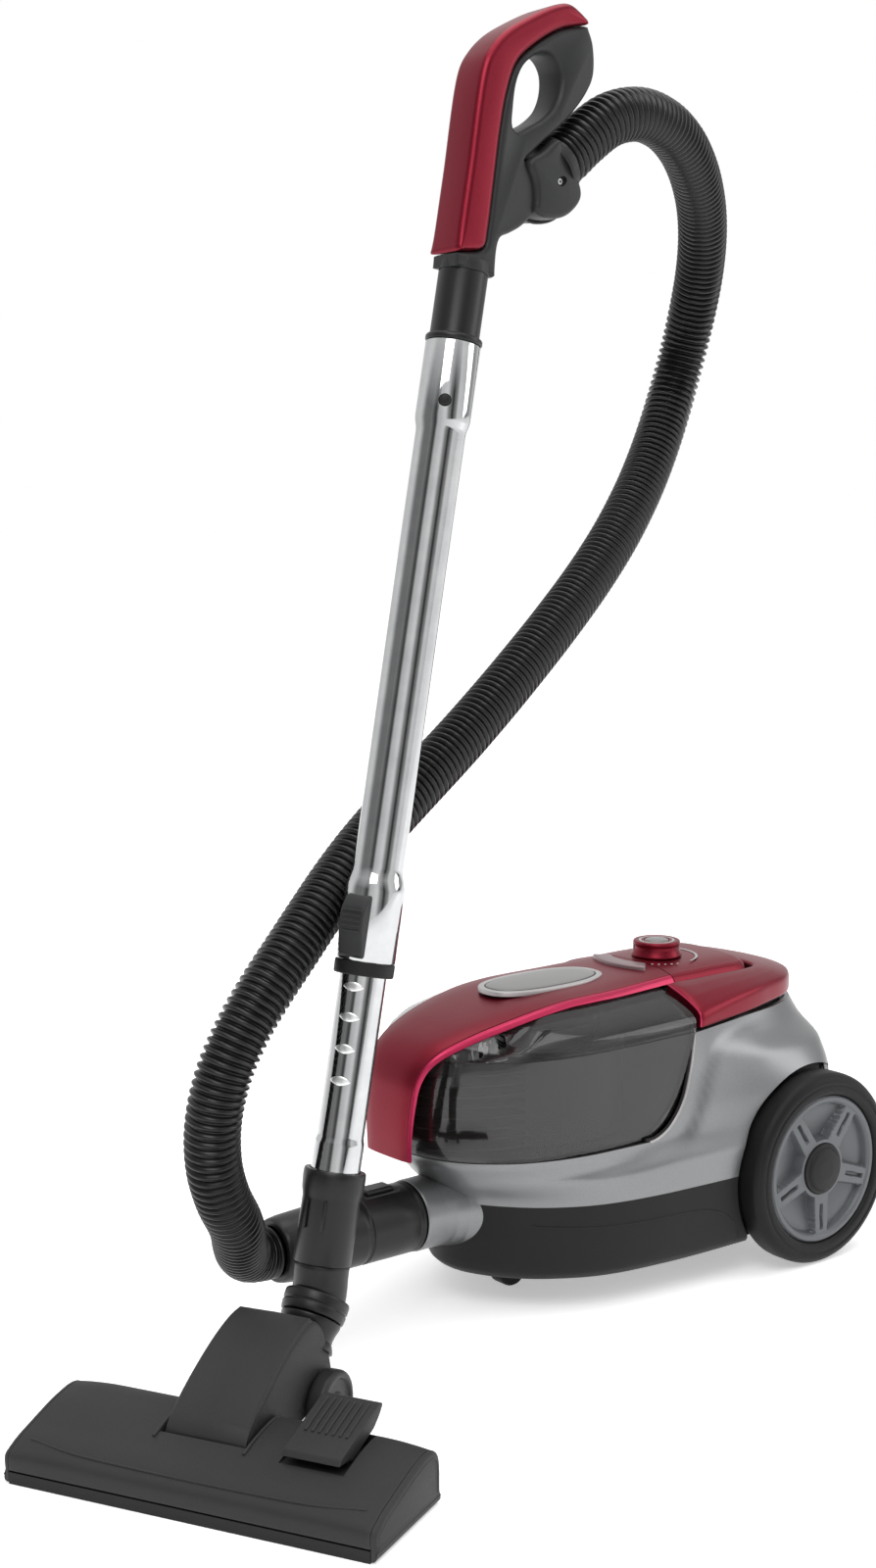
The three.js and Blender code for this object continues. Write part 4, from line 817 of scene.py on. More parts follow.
def slab(name, rows, t, mat, edge=None, edge_f=0.9):
    R, C = rows.shape[:2]
    du = np.gradient(rows, axis=0)
    dv = np.gradient(rows, axis=1)
    n = np.cross(du, dv)
    n /= np.linalg.norm(n, axis=2)[:, :, None]
    if n[R // 2, C // 2, 2] < 0:
        n = -n
    low = rows - n * t
    v = np.vstack([rows.reshape(-1, 3), low.reshape(-1, 3)])
    o = R * C
    f, mi = [], []
    for i in range(R - 1):
        for j in range(C - 1):
            a = i * C + j
            f.append((a, a + 1, a + C + 1, a + C))
            f.append((o + a, o + a + C, o + a + C + 1, o + a + 1))
            # the edge strip and the side walls take the second material, a painted highlight along the edge
            e = 1 if edge and min(abs(FS[j]), abs(FS[j + 1])) >= edge_f else 0
            mi += [e, 0]
    for j in range(C - 1):
        f.append((j, j + 1, o + j + 1, o + j)); mi.append(0)
        a = (R - 1) * C + j
        f.append((a, a + 1, o + a + 1, o + a)); mi.append(0)
    for i in range(R - 1):
        a, b = i * C, i * C + C - 1
        f.append((a, a + C, o + a + C, o + a)); mi.append(1 if edge else 0)
        f.append((b, b + C, o + b + C, o + b)); mi.append(1 if edge else 0)
    me = bpy.data.meshes.new(name)
    me.from_pydata([tuple(p) for p in W(v)], [], f)
    me.materials.append(mat)
    if edge:
        me.materials.append(edge)
    me.polygons.foreach_set("material_index", mi)
    bm = bmesh.new(); bm.from_mesh(me)
    bmesh.ops.recalc_face_normals(bm, faces=bm.faces)
    bm.to_mesh(me); bm.free()
    me.polygons.foreach_set("use_smooth", [True] * len(me.polygons))
    me.set_sharp_from_angle(angle=math.radians(38))
    ob = bpy.data.objects.new(name, me)
    COL.objects.link(ob)
    return ob


_k = int(np.argmin(abs(SP[:, 0] - 134) + (SP[:, 1] < 200) * 999))
_cov = SP[: _k + 1].copy()
_cov[-1, 0] = 133.6
cover = slab("bin_cover_red", cover_rows(_cov), 3.0, RED, RED_EDGE_HIGHLIGHT)
done(cover, "dust_bin", "bin_cover", slot="red")
_dk = SP[_k + 1:].copy()
_dk[0, 0] = 134.6
deck = slab("control_deck_red", cover_rows(_dk), 3.0, RED)
# light arc scale and tick dots round the dial
_arc = []
_ar = [(162 + 33 * math.cos(a), 33 * math.sin(a), 246.15) for a in np.radians(np.linspace(-78, 78, 60))]
_v, _f = tube_along(_ar, [float(0.35 + 0.95 * math.sin(math.pi * (k + 0.5) / 60) ** 0.5) for k in range(60)], 8)
_v[:, 2] = 246.15 + (_v[:, 2] - 246.15) * 0.35
_arc.append(obj_of("arc", _v, _f, TRIM_AND_HIGHLIGHT))
for _k2 in range(5):
    _a = math.radians(-104 - 9 * _k2)
    _v, _f = lathe([(0, 246.35), (0.8, 246.3), (1.0, 245.9), (0, 245.9)], 16)
    _arc.append(obj_of("dot", _v + np.array([162 + 34 * math.cos(_a), 34 * math.sin(_a), 0]), _f, TRIM_AND_HIGHLIGHT))
deck = join_objs("control_deck_finished", [deck] + _arc)
done(deck, "canister", "control_deck", slot="red")


def stadium(cx, a, b, n=80, p=2.4):
    t = np.arange(n) * 2 * math.pi / n
    c, s = np.cos(t), np.sin(t)
    return np.stack([cx + a * np.sign(c) * abs(c) ** (2 / p), b * np.sign(s) * abs(s) ** (2 / p)], 1)


def domed(name, outline, z0, z1, mat, rim=1.2, crown=0.6, body_mat=None):
    c = outline.mean(0)
    rings = [np.column_stack([outline, np.full(len(outline), z0)]), np.column_stack([outline, np.full(len(outline), z1 - rim)])]
    for k in range(1, 5):
        t = k / 4 * math.pi / 2
        q = offset(outline, rim * (1 - math.cos(t)))
        rings.append(np.column_stack([q, np.full(len(q), z1 - rim + rim * math.sin(t))]))
    last = rings[-1]
    for s in (0.8, 0.55, 0.3, 0.1):
        q = c + (last[:, :2] - c) * s
        rings.append(np.column_stack([q, np.full(len(q), z1 + crown * (1 - s * s))]))
    v, f = closed_loft(rings)
    return obj_of(name, v, f, mat, smooth=50)


_bz = 243.6
_ring = domed("badge_ring", stadium(34, 58, 29), 241.0, _bz + 0.9, TRIM_AND_HIGHLIGHT, 0.8, 0.0)
_ring2 = domed("badge_gap", stadium(34, 53.2, 24.4), 241.0, _bz + 1.0, BLACK, 0.3, 0.0)
_face = domed("badge_face", stadium(34, 52.2, 23.4), 241.0, _bz + 1.5, BADGE, 1.0, 0.7)
badge = join_objs("bin_badge_blank", [_ring, _ring2, _face])
done(badge, "dust_bin", "bin_badge", slot="trim")

_cr = []
for _a in np.radians(np.linspace(180 - 36, 180 + 36, 26)):
    _cr.append((162 + 53 * math.cos(_a), 53 * math.sin(_a)))
for _a in np.radians(np.linspace(180 + 33, 180 - 33, 22)):
    _cr.append((162 + 38.4 * math.cos(_a), 38.4 * math.sin(_a)))
rel = domed("release_button_crescent", rounded(_cr, 1.2, 2), 240.8, 248.0, TRIMRED, 1.4, 0.3)
done(rel, "release_button", "release_button", slot="trim")

# dial: waisted knob with an inset light ring
_kp = rounded([(6, 236), (6, 246.6), (20.6, 246.6), (20.9, 247.6), (20.0, 249.6), (18.9, 252.4), (18.8, 255.2), (19.6, 257.6), (19.2, 259.0), (18.0, 259.5), (15.6, 259.5), (15.2, 258.9), (12.6, 258.9), (12.2, 259.4), (10.6, 259.4), (10.4, 258.4), (10.4, 256.5), (0, 256.5), (0, 236)], 0.7, 3, False)
_v, _f = lathe([(max(r, 0), z) for r, z in _kp], 96)
knob = obj_of("power_dial", _v + np.array([162, 0, 0]), _f, RED, smooth=50)
_v, _f = lathe([(12.8, 258.6), (15.0, 258.6), (15.0, 259.35), (12.8, 259.35)], 96, True)
_kr = obj_of("kr", _v + np.array([162, 0, 0]), _f, TRIM_AND_HIGHLIGHT)
_mk = cuboid("mk", (162 - 19.7, -0.7, 251.2), (162 - 18.4, 0.7, 257.4), TRIM_AND_HIGHLIGHT)
_ang = math.radians(-35)
_c0 = W([162, 0, 0])
_mk.data.transform(Matrix.Translation(Vector((_c0[0], _c0[1], 0))) @ Matrix.Rotation(_ang, 4, "Z") @ Matrix.Translation(Vector((-_c0[0], -_c0[1], 0))))
knob = join_objs("power_dial_turned", [knob, _kr, _mk])
done(knob, "power_knob", "power_knob", slot="red")
_v, _f = lathe(rounded([(0, 260.4), (4, 260.3), (8.4, 259.9), (9.9, 259.2), (10.0, 258.5), (0, 258.5)], 0.5, 2, False), 64)
pb = obj_of("power_button_cap", _v + np.array([162, 0, 0]), _f, BADGE, smooth=50)
done(pb, "power_button", "power_button", slot="trim")

# carrying handle
ST = [(121.8, 53.5, 93, 236.2, 218, 208.6), (123.6, 53.5, 93.2, 237.8, 219.4, 208.6), (150, 53.5, 90, 238, 224, 209.8), (187, 53.5, 85, 238, 228, 211.6), (212, 52.5, 79.5, 237.6, 229.2, 213)]
_sec = []
for _x, _yi, _yo, _zi, _zo, _zb in ST:
    _sec.append((_x, _yi, _x, _yo, _zi, _zo, _zb))
for _q, _p, _z, _b0 in (((226.5, 47.8), (247, 68), 229.4, 214), ((231.5, 38), (271, 47), 229, 214.6), ((233, 20), (283, 23), 228.6, 215.2), ((233.2, 0), (286, 0), 228.4, 215.8)):
    _sec.append((_q[0], _q[1], _p[0], _p[1], 237.2, _z, _b0))
_full = [(*s,) for s in _sec] + [(s[0], -s[1], s[2], -s[3], s[4], s[5], s[6]) for s in _sec[:-1][::-1]]
_FS2 = catmull(_full, 150)
_rings = []
for _s2 in _FS2:
    _i2, _o2, _zi, _zo, _zb = np.array([_s2[0], _s2[1]]), np.array([_s2[2], _s2[3]]), _s2[4], _s2[5], _s2[6]
    def _p3(t, z):
        q = _i2 + (_o2 - _i2) * t
        return (q[0], q[1], z)
    _pts = [_p3(0, 227), _p3(0, _zi - 1.4), _p3(0.05, _zi), _p3(0.3, _zi - (_zi - _zo) * 0.14), _p3(0.6, _zi - (_zi - _zo) * 0.42), _p3(0.86, _zi - (_zi - _zo) * 0.82), _p3(0.965, _zo - 0.6), _p3(1, _zo - 4.2), _p3(1, _zb + 1.2), _p3(0.97, _zb), _p3(0.8, _zb)]
    _rings.append(rounded(_pts, 1.6, 2))
_v, _f = closed_loft(_rings)
ch = obj_of("carry_handle_u", _v, _f, RED, smooth=40)
# bright bevel line at both front ends: tubes in the lighter red that paint the edge highlight
_cl = []
for _sgn in (-1, 1):
    _q = [(121.6, _sgn * y, z) for y, z in ((54.5, 237.0), (70, 231.6), (84, 225.2), (91, 220.6), (92.6, 215), (92.4, 210))]
    _v, _f = tube_along(catmull(_q, 40), [0.8] * 40, 8)
    _cl.append(obj_of("edge", _v, _f, RED_EDGE_HIGHLIGHT))
ch = join_objs("carry_handle_shape", [ch] + _cl)
done(ch, "carry_handle", "carry_handle", slot="red")

# inner parts of the bin: cyclone with a perforated band, curved louvres, inner cup wall
_cp = rounded([(0, 132), (20, 132), (20.4, 134), (19, 137), (30, 168), (38, 196), (44, 204), (45, 214), (41, 214), (40, 206), (33, 196), (0, 150)], 1.5, 3, False)
_v, _f = lathe(_cp, 96)
_cyc = [obj_of("cyc", _v + np.array([38, 0, 0]), _f, INNER, smooth=50)]
for _k in range(7):
    _z = 172 + _k * 4
    _r = 31.4 + (_z - 172) * 0.29
    _v, _f = lathe([(_r - 0.5, _z), (_r + 1.5, _z + 0.3), (_r + 1.5, _z + 1.3), (_r - 0.3, _z + 1.6)], 96, True)
    _cyc.append(obj_of("cyr", _v + np.array([38, 0, 0]), _f, GREYS))
# tall smooth inner wall that catches the bright upright reflections
_w = []
for _a in np.radians(np.linspace(118, 318, 90)):
    _w.append((20 + 74 * math.cos(_a), 76 * math.sin(_a)))
_w = np.array(_w)
_w2 = np.array([(20 + (x - 20) * 0.972, y * 0.972) for x, y in _w])
_o = np.vstack([_w, _w2[::-1]])
_v, _f = closed_loft([np.column_stack([_o, np.full(len(_o), z)]) for z in (133, 150, 170, 188, 203)])
_v[:, 0] += (_v[:, 2] - 133) * 0.04
_cyc.append(obj_of("inwall", _v, _f, INNER, smooth=50))
cyc = join_objs("cyclone_cone", _cyc)
done(cyc, "dust_bin", "cyclone_body", slot="grey")
_lv = []
for _k in range(8):
    _z = 139 + _k * 8.3
    _in2, _ou2 = [], []
    for _a in np.radians(np.linspace(108, 252, 40)):
        _ou2.append((-2 + 102 * math.cos(_a) * 0.98, 86 * math.sin(_a) * 0.72))
        _in2.append((-2 + 66 * math.cos(_a), 60 * math.sin(_a) * 0.8))
    _o = np.vstack([_ou2, _in2[::-1]])
    _t = np.column_stack([_o, np.full(len(_o), _z)])
    _t[:40, 2] -= 3.6
    _b2 = _t.copy()
    _b2[:, 2] -= 1.5
    _v, _f = closed_loft([_b2, _t])
    _lv.append(obj_of("fin", _v, _f, INNER, smooth=50))
for _a in np.radians([125, 150, 180, 210, 235]):
    _c = np.array([-2 + 64 * math.cos(_a), 47 * math.sin(_a)])
    _lv.append(bevel(cuboid("post", (_c[0] - 1.4, _c[1] - 1.4, 134), (_c[0] + 1.4, _c[1] + 1.4, 204), GREYS), 0.5, 2))
louvre = join_objs("cyclone_fins", _lv)
done(louvre, "dust_bin", "cyclone_louvre", slot="grey")

# ------------------------------------------------------------------ wheels
def polar_rim(name, sgn):
    nr, na = 40, 300
    rs = np.concatenate([[21.6], np.linspace(23, 54, 28), np.linspace(54.6, 60.8, 11)])
    ang = np.arange(na) * 2 * math.pi / na
    out0 = 129.0
    v = []
    for r in rs:
        for a in ang:
            best = min(abs((a - math.radians(270 + 72 * k) + math.pi) % (2 * math.pi) - math.pi) for k in range(5))
            dist = r * math.sin(min(best, math.pi / 2)) if best < math.pi / 2 else 99
            half = 7.6 + (54 - r) * 0.03
            def st(x, e0, e1):
                t = np.clip((x - e0) / (e1 - e0), 0, 1)
                return t * t * (3 - 2 * t)
            spoke = 1 - st(dist, half - 0.7, half + 1.1)
            slot = (1 - st(dist, 1.0, 2.0)) * st(r, 30, 31.6) * (1 - st(r, 50.5, 52))
            hubr = 1 - st(r, 24.6, 26.2)
            outer = st(r, 53.0, 55.0)
            solid = max(spoke, hubr, outer)
            dish = -9.0 - 4.0 * st(r, 52, 26)
            face = -3.2 - 2.2 * (1 - st(r, 24, 54)) * 0.4
            z = dish * (1 - solid) + face * solid
            z -= 3.6 * slot * spoke
            z += 1.2 * st(r, 55.2, 56.4) * (1 - st(r, 59.4, 60.6))
            v.append((r * math.cos(a), r * math.sin(a), out0 + z))
    n = len(rs)
    f = []
    for i in range(n - 1):
        for k in range(na):
            a, b = i * na + k, i * na + (k + 1) % na
            f.append((a, b, b + na, a + na))
    # back: simple dished ring closing the solid
    base = len(v)
    back = [(60.8, 104), (54, 112), (22, 112), (20, 101), (5.3, 101), (5.3, 122), (21.6, 122)]
    for r, z in back:
        v += [(r * math.cos(a), r * math.sin(a), z) for a in ang]
    chain = [(n - 1) * na] + [base + q * na for q in range(len(back))] + [0]
    for s, t in zip(chain[:-1], chain[1:]):
        for k in range(na):
            f.append((s + k, s + (k + 1) % na, t + (k + 1) % na, t + k))
    fr = Fr([232, 0, 79.5], [1, 0, 0], [0, 0, 1], [0, sgn, 0])
    return obj_of(name, np.array(v), f, RIM, fr, smooth=32)


for _n, _sgn in (("left", -1), ("right", 1)):
    fr = Fr([232, 0, 79.5], [1, 0, 0], [0, 0, 1], [0, _sgn, 0])
    _tp = rounded([(61.4, 100.2), (71.5, 99.7), (76.8, 101.4), (79.2, 105.5), (79.5, 109), (79.5, 119), (79.1, 123), (77.4, 126.2), (74.6, 128.2), (71.6, 128.9), (70.6, 128.2), (69.6, 128.2), (68.8, 129), (64.6, 129), (62.6, 128.2), (61.4, 126.2)], 0.9, 3)
    _v, _f = lathe(_tp, 160, True)
    _t = obj_of("tyre_shape_" + _n, _v, _f, RUBBER, fr, smooth=45)
    done(_t, "wheel_" + _n, "tyre_" + _n, slot="rubber")
    _r0 = polar_rim("rim_spoked_" + _n, _sgn)
    done(_r0, "wheel_" + _n, "rim_" + _n, slot="rim")
    _v, _f = lathe(rounded([(0, 130.6), (8, 130.4), (15.5, 129.4), (17.2, 128.6), (18.2, 127.0), (19.6, 126.6), (21.0, 126.4), (21.0, 123.6), (0, 123.6)], 0.6, 3, False), 96)
    _h = obj_of("hub_cap_domed_" + _n, _v, _f, HUB, fr, smooth=45)
    done(_h, "wheel_" + _n, "hub_cap_" + _n, slot="black")

# ------------------------------------------------------------------ tubes
def turned(name, pts, mat, fr=TUBE, seg=96, smooth=40, close=True, rnd=0.0):
    p = rounded(pts, rnd, 3) if rnd else pts
    v, f = lathe([(max(a, 0.0), b) for a, b in p], seg, close)
    return obj_of(name, v, f, mat, fr, smooth)


def at_angle(deg):
    """frame on the tube's side at an angle: x out, y round, z up the tube"""
    a = math.radians(deg)
    x = WH * math.cos(a) + WN * math.sin(a)
    return Fr(WAND, x, np.cross(WV, x), WV)


_inner = [(15.4, -22), (17.3, -22), (17.3, 24), (17.1, 26), (16.4, 28.6), (16.3, 30), (16.3, 330), (15.4, 330)]
lower = turned("tube_inner", _inner, CHROME)
# lens-shaped detents pressed in along the front
_fr = at_angle(211)
_det = []
for _l in (68, 90, 112, 133):
    _nn, _mm = 26, 10
    _v = []
    for i in range(_mm + 1):
        t = i / _mm * math.pi
        for k in range(_nn):
            a = 2 * math.pi * k / _nn
            _v.append((-0.3 * math.cos(t) * 1.5, 7.6 * math.sin(t) * math.cos(a), 3.3 * math.sin(t) * math.sin(a) * (1 - 0.45 * abs(math.cos(a)) ** 2)))
    _f = [(i * _nn + k, i * _nn + (k + 1) % _nn, (i + 1) * _nn + (k + 1) % _nn, (i + 1) * _nn + k) for i in range(_mm) for k in range(_nn)]
    _vv = np.array(_v)
    _vv[:, 0] += 16.3 - _vv[:, 1] ** 2 / (2 * 16.3)
    _vv[:, 2] += _l
    _det.append(obj_of("det", _vv, _f, DETENT, _fr, smooth=60))
lower = join_objs("tube_inner_chrome", [lower] + _det)
done(lower, "lower_tube", "lower_tube", slot="chrome")

_outer = [(16.8, 151), (20.4, 151), (20.8, 151.6), (20.8, 200), (20.5, 203), (19.2, 208), (17.9, 212), (17.5, 216), (17.5, 521), (17.9, 524), (19.0, 528), (19.4, 531), (19.4, 583.4), (19.0, 584), (18, 584), (18, 532), (16.8, 524)]
upper = turned("tube_outer_chrome", _outer, CHROME)
_a231 = math.radians(231)
_x = WH * math.cos(_a231) + WN * math.sin(_a231)
_v, _f = lathe([(0, 10), (4.5, 10), (4.5, 30), (0, 30)], 48)
carve(upper, obj_of("cut_v", _v, _f, CHROME, Fr(WAND + WV * 541, WV, np.cross(_x, WV), _x)))
done(upper, "canister", "upper_tube", slot="chrome")
_v, _f = lathe(rounded([(0, 21.4), (2.5, 21.2), (3.7, 20.4), (4.0, 19.2), (4.0, 17.9), (0, 17.9)], 0.4, 2, False), 40)
lk = obj_of("tube_lock_cap", _v, _f, BLACK, Fr(WAND + WV * 541, WV, np.cross(_x, WV), _x), smooth=50)
done(lk, "tube_lock_button", "tube_lock_button", slot="black")
rg = turned("tube_ring_moulded", [(16.8, 141), (20.2, 141), (20.9, 141.8), (21, 146), (21, 150.3), (20.4, 150.6), (16.8, 150.6)], BLACK, rnd=0.5)
done(rg, "canister", "tube_ring_lower", slot="black")

# latch slider: arched grip with cross ribs
_fr = at_angle(203)
_lat = extr("latch", catmull([(18.0, 153.4), (22.4, 153.4), (25.4, 163), (28.3, 172), (28.4, 184), (26, 190), (21, 195.8), (18.0, 196)], 60, True), -9.3, 9.3, GREYS, _fr)
bevel(_lat, 2.2, 4)
_lp = [_lat]
for _k in range(5):
    _z = 170 + _k * 3.6
    _lp.append(bevel(cuboid("rib", (27.4, -7.4, _z), (29.3, 7.4, _z + 1.5), GREYS, _fr), 0.5, 2))
_t = turned("cutcyl", [(0, 140), (21.4, 140), (21.4, 210), (0, 210)], GREYS, close=False)
bake(_lat)
carve(_lat, _t)
lat = join_objs("latch_slider_grip", _lp)
done(lat, "latch_slider", "latch_slider", slot="grey")

# ------------------------------------------------------------------ handle
_sp = [(14.5, 533), (17.4, 533), (17.5, 584.2), (19.6, 584.4), (20.1, 585.4), (20.1, 587.6), (19.4, 588.6), (17.8, 589.4), (17.5, 591), (17.5, 634), (14.5, 634)]
sp = turned("handle_spigot_turned", _sp, SATIN)
_x = WH * math.cos(_a231) + WN * math.sin(_a231)
_v, _f = lathe([(0, 10), (4.6, 10), (4.6, 30), (0, 30)], 48)
carve(sp, obj_of("cut_v2", _v, _f, SATIN, Fr(WAND + WV * 541, WV, np.cross(_x, WV), _x)))
done(sp, "canister", "handle_spigot", slot="satin")

SEAM = [(-18, 643.5), (4, 652), (5.5, 665), (5, 695), (4, 737), (5, 761), (10, 785), (23, 802), (45, 821), (61, 829), (69, 832)]
REDO = [(67, 835.5), (60, 839), (50, 841.5), (38, 837), (14, 820), (-4, 804), (-14, 790), (-19.5, 776), (-20, 700), (-20, 645)]
HOLE = [(16, 742), (14, 755), (14, 774), (19, 788), (30, 799), (41, 802), (50, 795), (53, 782), (50, 768), (42, 757), (30, 747), (20, 740)]


def room(P, want):
    """how far each point of a closed outline can move inwards before it meets the far side"""
    m = len(P)
    a, b = np.roll(P, 1, 0), np.roll(P, -1, 0)
    t = b - a
    t /= np.linalg.norm(t, axis=1)[:, None]
    n = np.stack([t[:, 1], -t[:, 0]], 1)
    area = 0.5 * np.sum(P[:, 0] * np.roll(P[:, 1], -1) - np.roll(P[:, 0], -1) * P[:, 1])
    n = -n if area > 0 else n
    out = np.full(m, float(want))
    for i in range(m):
        d = P - P[i]
        q = (d ** 2).sum(1)
        k = d @ n[i]
        with np.errstate(divide="ignore", invalid="ignore"):
            r = np.where(k > 1e-6, q / (2 * k), 1e9)
        out[i] = min(out[i], 0.9 * r.min())
    for _ in range(30):
        out = np.minimum(out, 0.25 * np.roll(out, 1) + 0.5 * out + 0.25 * np.roll(out, -1))
    return n, out


def evened(P, step):
    """a closed outline resampled to even steps"""
    Q = np.vstack([P, P[:1]])
    L = np.concatenate([[0], np.cumsum(np.linalg.norm(np.diff(Q, axis=0), axis=1))])
    n = int(L[-1] / step)
    S = np.linspace(0, L[-1], n + 1)[:-1]
    return np.stack([np.interp(S, L, Q[:, 0]), np.interp(S, L, Q[:, 1])], 1)


def pillow(name, outline, half, mat, fr, round_r, steps=5, step=2.2):
    """closed outline in (h, l) pulled both ways along n, with a rounded shoulder that narrows where the outline does"""
    P = evened(np.asarray(outline, float), step)
    nrm, rm = room(P, round_r)
    levels = []
    for k in range(steps + 1):
        t = k / steps * math.pi / 2
        levels.append((-half + round_r * (1 - math.sin(t)), 1 - math.cos(t)))
    levels = [(-half + round_r * (1 - math.cos(math.pi / 2 * k / steps)), 1 - math.sin(math.pi / 2 * k / steps)) for k in range(steps + 1)]
    levels = levels + [(-y, d) for y, d in levels[::-1]]
    rr = []
    for y, d in levels:
        q = P + nrm * (rm * d)[:, None]
        rr.append(np.column_stack([q[:, 0], np.full(len(q), y), q[:, 1]]))
    v, f = closed_loft(rr)
    return obj_of(name, v, f, mat, fr, smooth=42)


_seam = catmull(SEAM, 70)
_rout = catmull(REDO, 80)
_cov = np.vstack([_seam + np.array([-0.4, 0.35]), _rout])
cover2 = pillow("handle_cover_red", rounded(_cov, 0.3, 1), 16.8, RED, TUBE, 5.4, 7)
done(cover2, "canister", "handle_cover", slot="red")
_under = catmull([(69, 832), (77, 822), (82, 800), (78, 786), (69, 770), (58, 755), (44, 739), (30, 722)], 50)
_low = catmull([(30, 722), (44, 705), (44, 688), (36, 677), (26, 669), (18, 663), (17.3, 634.4)], 40)
_bd = np.vstack([[(-17.3, 634.4)], _seam, _under[1:], _low[1:]])
hb = pillow("handle_body_grip", rounded(_bd, 0.3, 1), 14.5, GREYS, TUBE, 4.2, 6)
_hole = catmull(HOLE, 60, True)
_hc = []
for _y, _d in ((-22, -4.2), (-14.6, -4.2), (-13.6, -2.4), (-12.2, -1.0), (-10.2, 0), (10.2, 0), (12.2, -1.0), (13.6, -2.4), (14.6, -4.2), (22, -4.2)):
    _q = offset(_hole, _d)
    _hc.append(np.column_stack([_q[:, 0], np.full(len(_q), _y), _q[:, 1]]))
_v, _f = closed_loft(_hc)
carve(hb, obj_of("cut_w", _v, _f, GREYS, TUBE), smooth=42, own=True)
_hp2 = [hb]
# collar where the grip meets the tube
_hp2.append(turned("collar", [(14.6, 634.4), (17.7, 634.4), (18.0, 635.2), (18.0, 640), (17.6, 643), (14.6, 643)], GREYS, rnd=0.4))
hb = join_objs("handle_body_shape", _hp2)
done(hb, "canister", "handle_body", slot="grey")

_hh = catmull([(31.1, 720.7), (43, 732.7), (54.9, 744.7), (61.5, 738.4), (68.5, 731.5), (81.5, 718), (83.4, 710), (79, 701), (70.5, 693), (57, 688), (48, 687.4), (42.5, 690), (41, 698), (38, 708)], 90, True)
hh = pillow("hose_housing_shell", _hh, 18.6, GREYS, TUBE, 5.0, 6)
_v, _f = lathe([(0, -24), (4.6, -24), (4.6, -16.2), (0, -16.2)], 40)
_cut = obj_of("cut_x", _v * np.array([1, 0.72, 1]), _f, GREYS, Fr(TUBE([62, 0, 716]), WH * 0.7 + WV * 0.7, WH * -0.7 + WV * 0.7, WN))
carve(hh, _cut, smooth=42)
_hx = [hh]
# the two half shells' parting lip along the outer edge
_lp2 = [(54.9, 745.6), (69.3, 732.4), (82.6, 718.4), (84.2, 709.6), (79.6, 700.2), (70.8, 692.2), (57, 686.9), (47.6, 686.4)]
_q = catmull(_lp2, 70)
_v, _f = tube_along(np.column_stack([_q[:, 0], np.zeros(len(_q)), _q[:, 1]]), [1.15] * 70, 10)
_hx.append(obj_of("lip", _v, _f, GREYS, TUBE))
# ring where the hose goes in
_d0 = unit(0.6969 * WH + 0.7172 * WV)
_s0 = WAND + 68.4 * WH + 731.8 * WV
_u0 = WN
_v, _f = lathe(rounded([(19.9, -6), (21.6, -6), (22.2, -4), (22.2, 1.2), (21.4, 2.2), (19.9, 2.2)], 0.6, 3), 80, True)
_hx.append(obj_of("ring", _v, _f, GREYS, Fr(_s0, np.cross(_u0, _d0), _u0, _d0), smooth=45))
hh = join_objs("hose_housing_shape", _hx)
done(hh, "canister", "hose_housing", slot="grey")
_v, _f = lathe(rounded([(0, -16.1), (2.0, -16.3), (2.9, -15.9), (2.9, -13.4), (0, -13.4)], 0.3, 2, False), 32)
sc = obj_of("screw", _v, _f, STEEL, Fr(TUBE([62, 0, 716]), WH, -WV, WN), smooth=45)
sc = done(sc, "canister", "housing_screw", slot="steel")

# ------------------------------------------------------------------ elbow
_es = [(17.8, 6), (21.0, 6), (21.5, 5.2), (21.8, 2), (21.7, -2), (21.2, -8), (20.4, -11.6), (20.1, -14), (20.0, -57), (19.6, -58), (15.2, -58), (15.2, -24), (17.8, -23)]
es = turned("elbow_socket_turned", _es, SATIN)
_eparts = [es]
_fr = at_angle(203)
for _k in (-1, 1):
    _eparts.append(bevel(cuboid("tab", (18.6, _k * 7 - 1, -34), (20.9, _k * 7 + 1, -14), SATIN, _fr), 0.6, 2))
es = join_objs("elbow_socket_shape", _eparts)
done(es, "lower_tube", "elbow_socket", slot="satin")
SWA, SWD = np.array([-271.0, -115.3, 86.0]), unit([0.55, 0.212, 0.807])
_a0 = WAND + WV * -58.4
_c1 = SWA - SWD
_P = []
for _t in np.linspace(0, 1, 28):
    _b1, _b2 = _a0 - WV * 9, _c1 + SWD * 9
    _P.append((1 - _t) ** 3 * _a0 + 3 * _t * (1 - _t) ** 2 * _b1 + 3 * _t * _t * (1 - _t) * _b2 + _t ** 3 * _c1)
_rd = [19.4 - 0.5 * math.sin(math.pi * t) for t in np.linspace(0, 1, 28)]
_rd[0] = _rd[-1] = 18.9
_v, _f = tube_along(_P, _rd, 64)
eb = obj_of("elbow_bend_smooth", _v, _f, SATIN, smooth=45)
done(eb, "lower_tube", "elbow_bend", slot="satin")
_sx = unit(np.cross(SWD, [0, 1, 0]))
SWF = Fr(SWA, _sx, np.cross(SWD, _sx), SWD)
_v, _f = lathe(rounded([(15, -13), (22.0, -13), (22.5, -11), (22.9, -7.4), (22.2, -6.8), (22.2, -5.8), (23.0, -5.2), (22.9, 0.2), (22.2, 1.4), (21.3, 1.4), (21.0, -1.6), (15, -1.6)], 0.5, 2), 80, True)
ec = obj_of("elbow_collar_ribbed", _v, _f, SATIN, SWF, smooth=45)
done(ec, "neck", "elbow_collar", slot="satin")

# ------------------------------------------------------------------ floor head
HL = 135.0
NY, NW = 9.5, 30.0
TOP = [(0.8, 9.2), (0.2, 18), (2.2, 21.8), (6, 24), (16, 28.5), (28, 32), (40, 35.5), (54, 39.2), (66, 41.4), (76, 42.4), (84, 41.4), (90, 37), (92.6, 30), (93.4, 22), (93.4, 9.2)]
_tp = catmull(TOP, 60)
_tp[:, 0] = np.clip(_tp[:, 0], 0.2, 93.4)
_inn = [(x * 0.955 + 2.2, max(z - 3.0, 0)) for x, z in TOP]


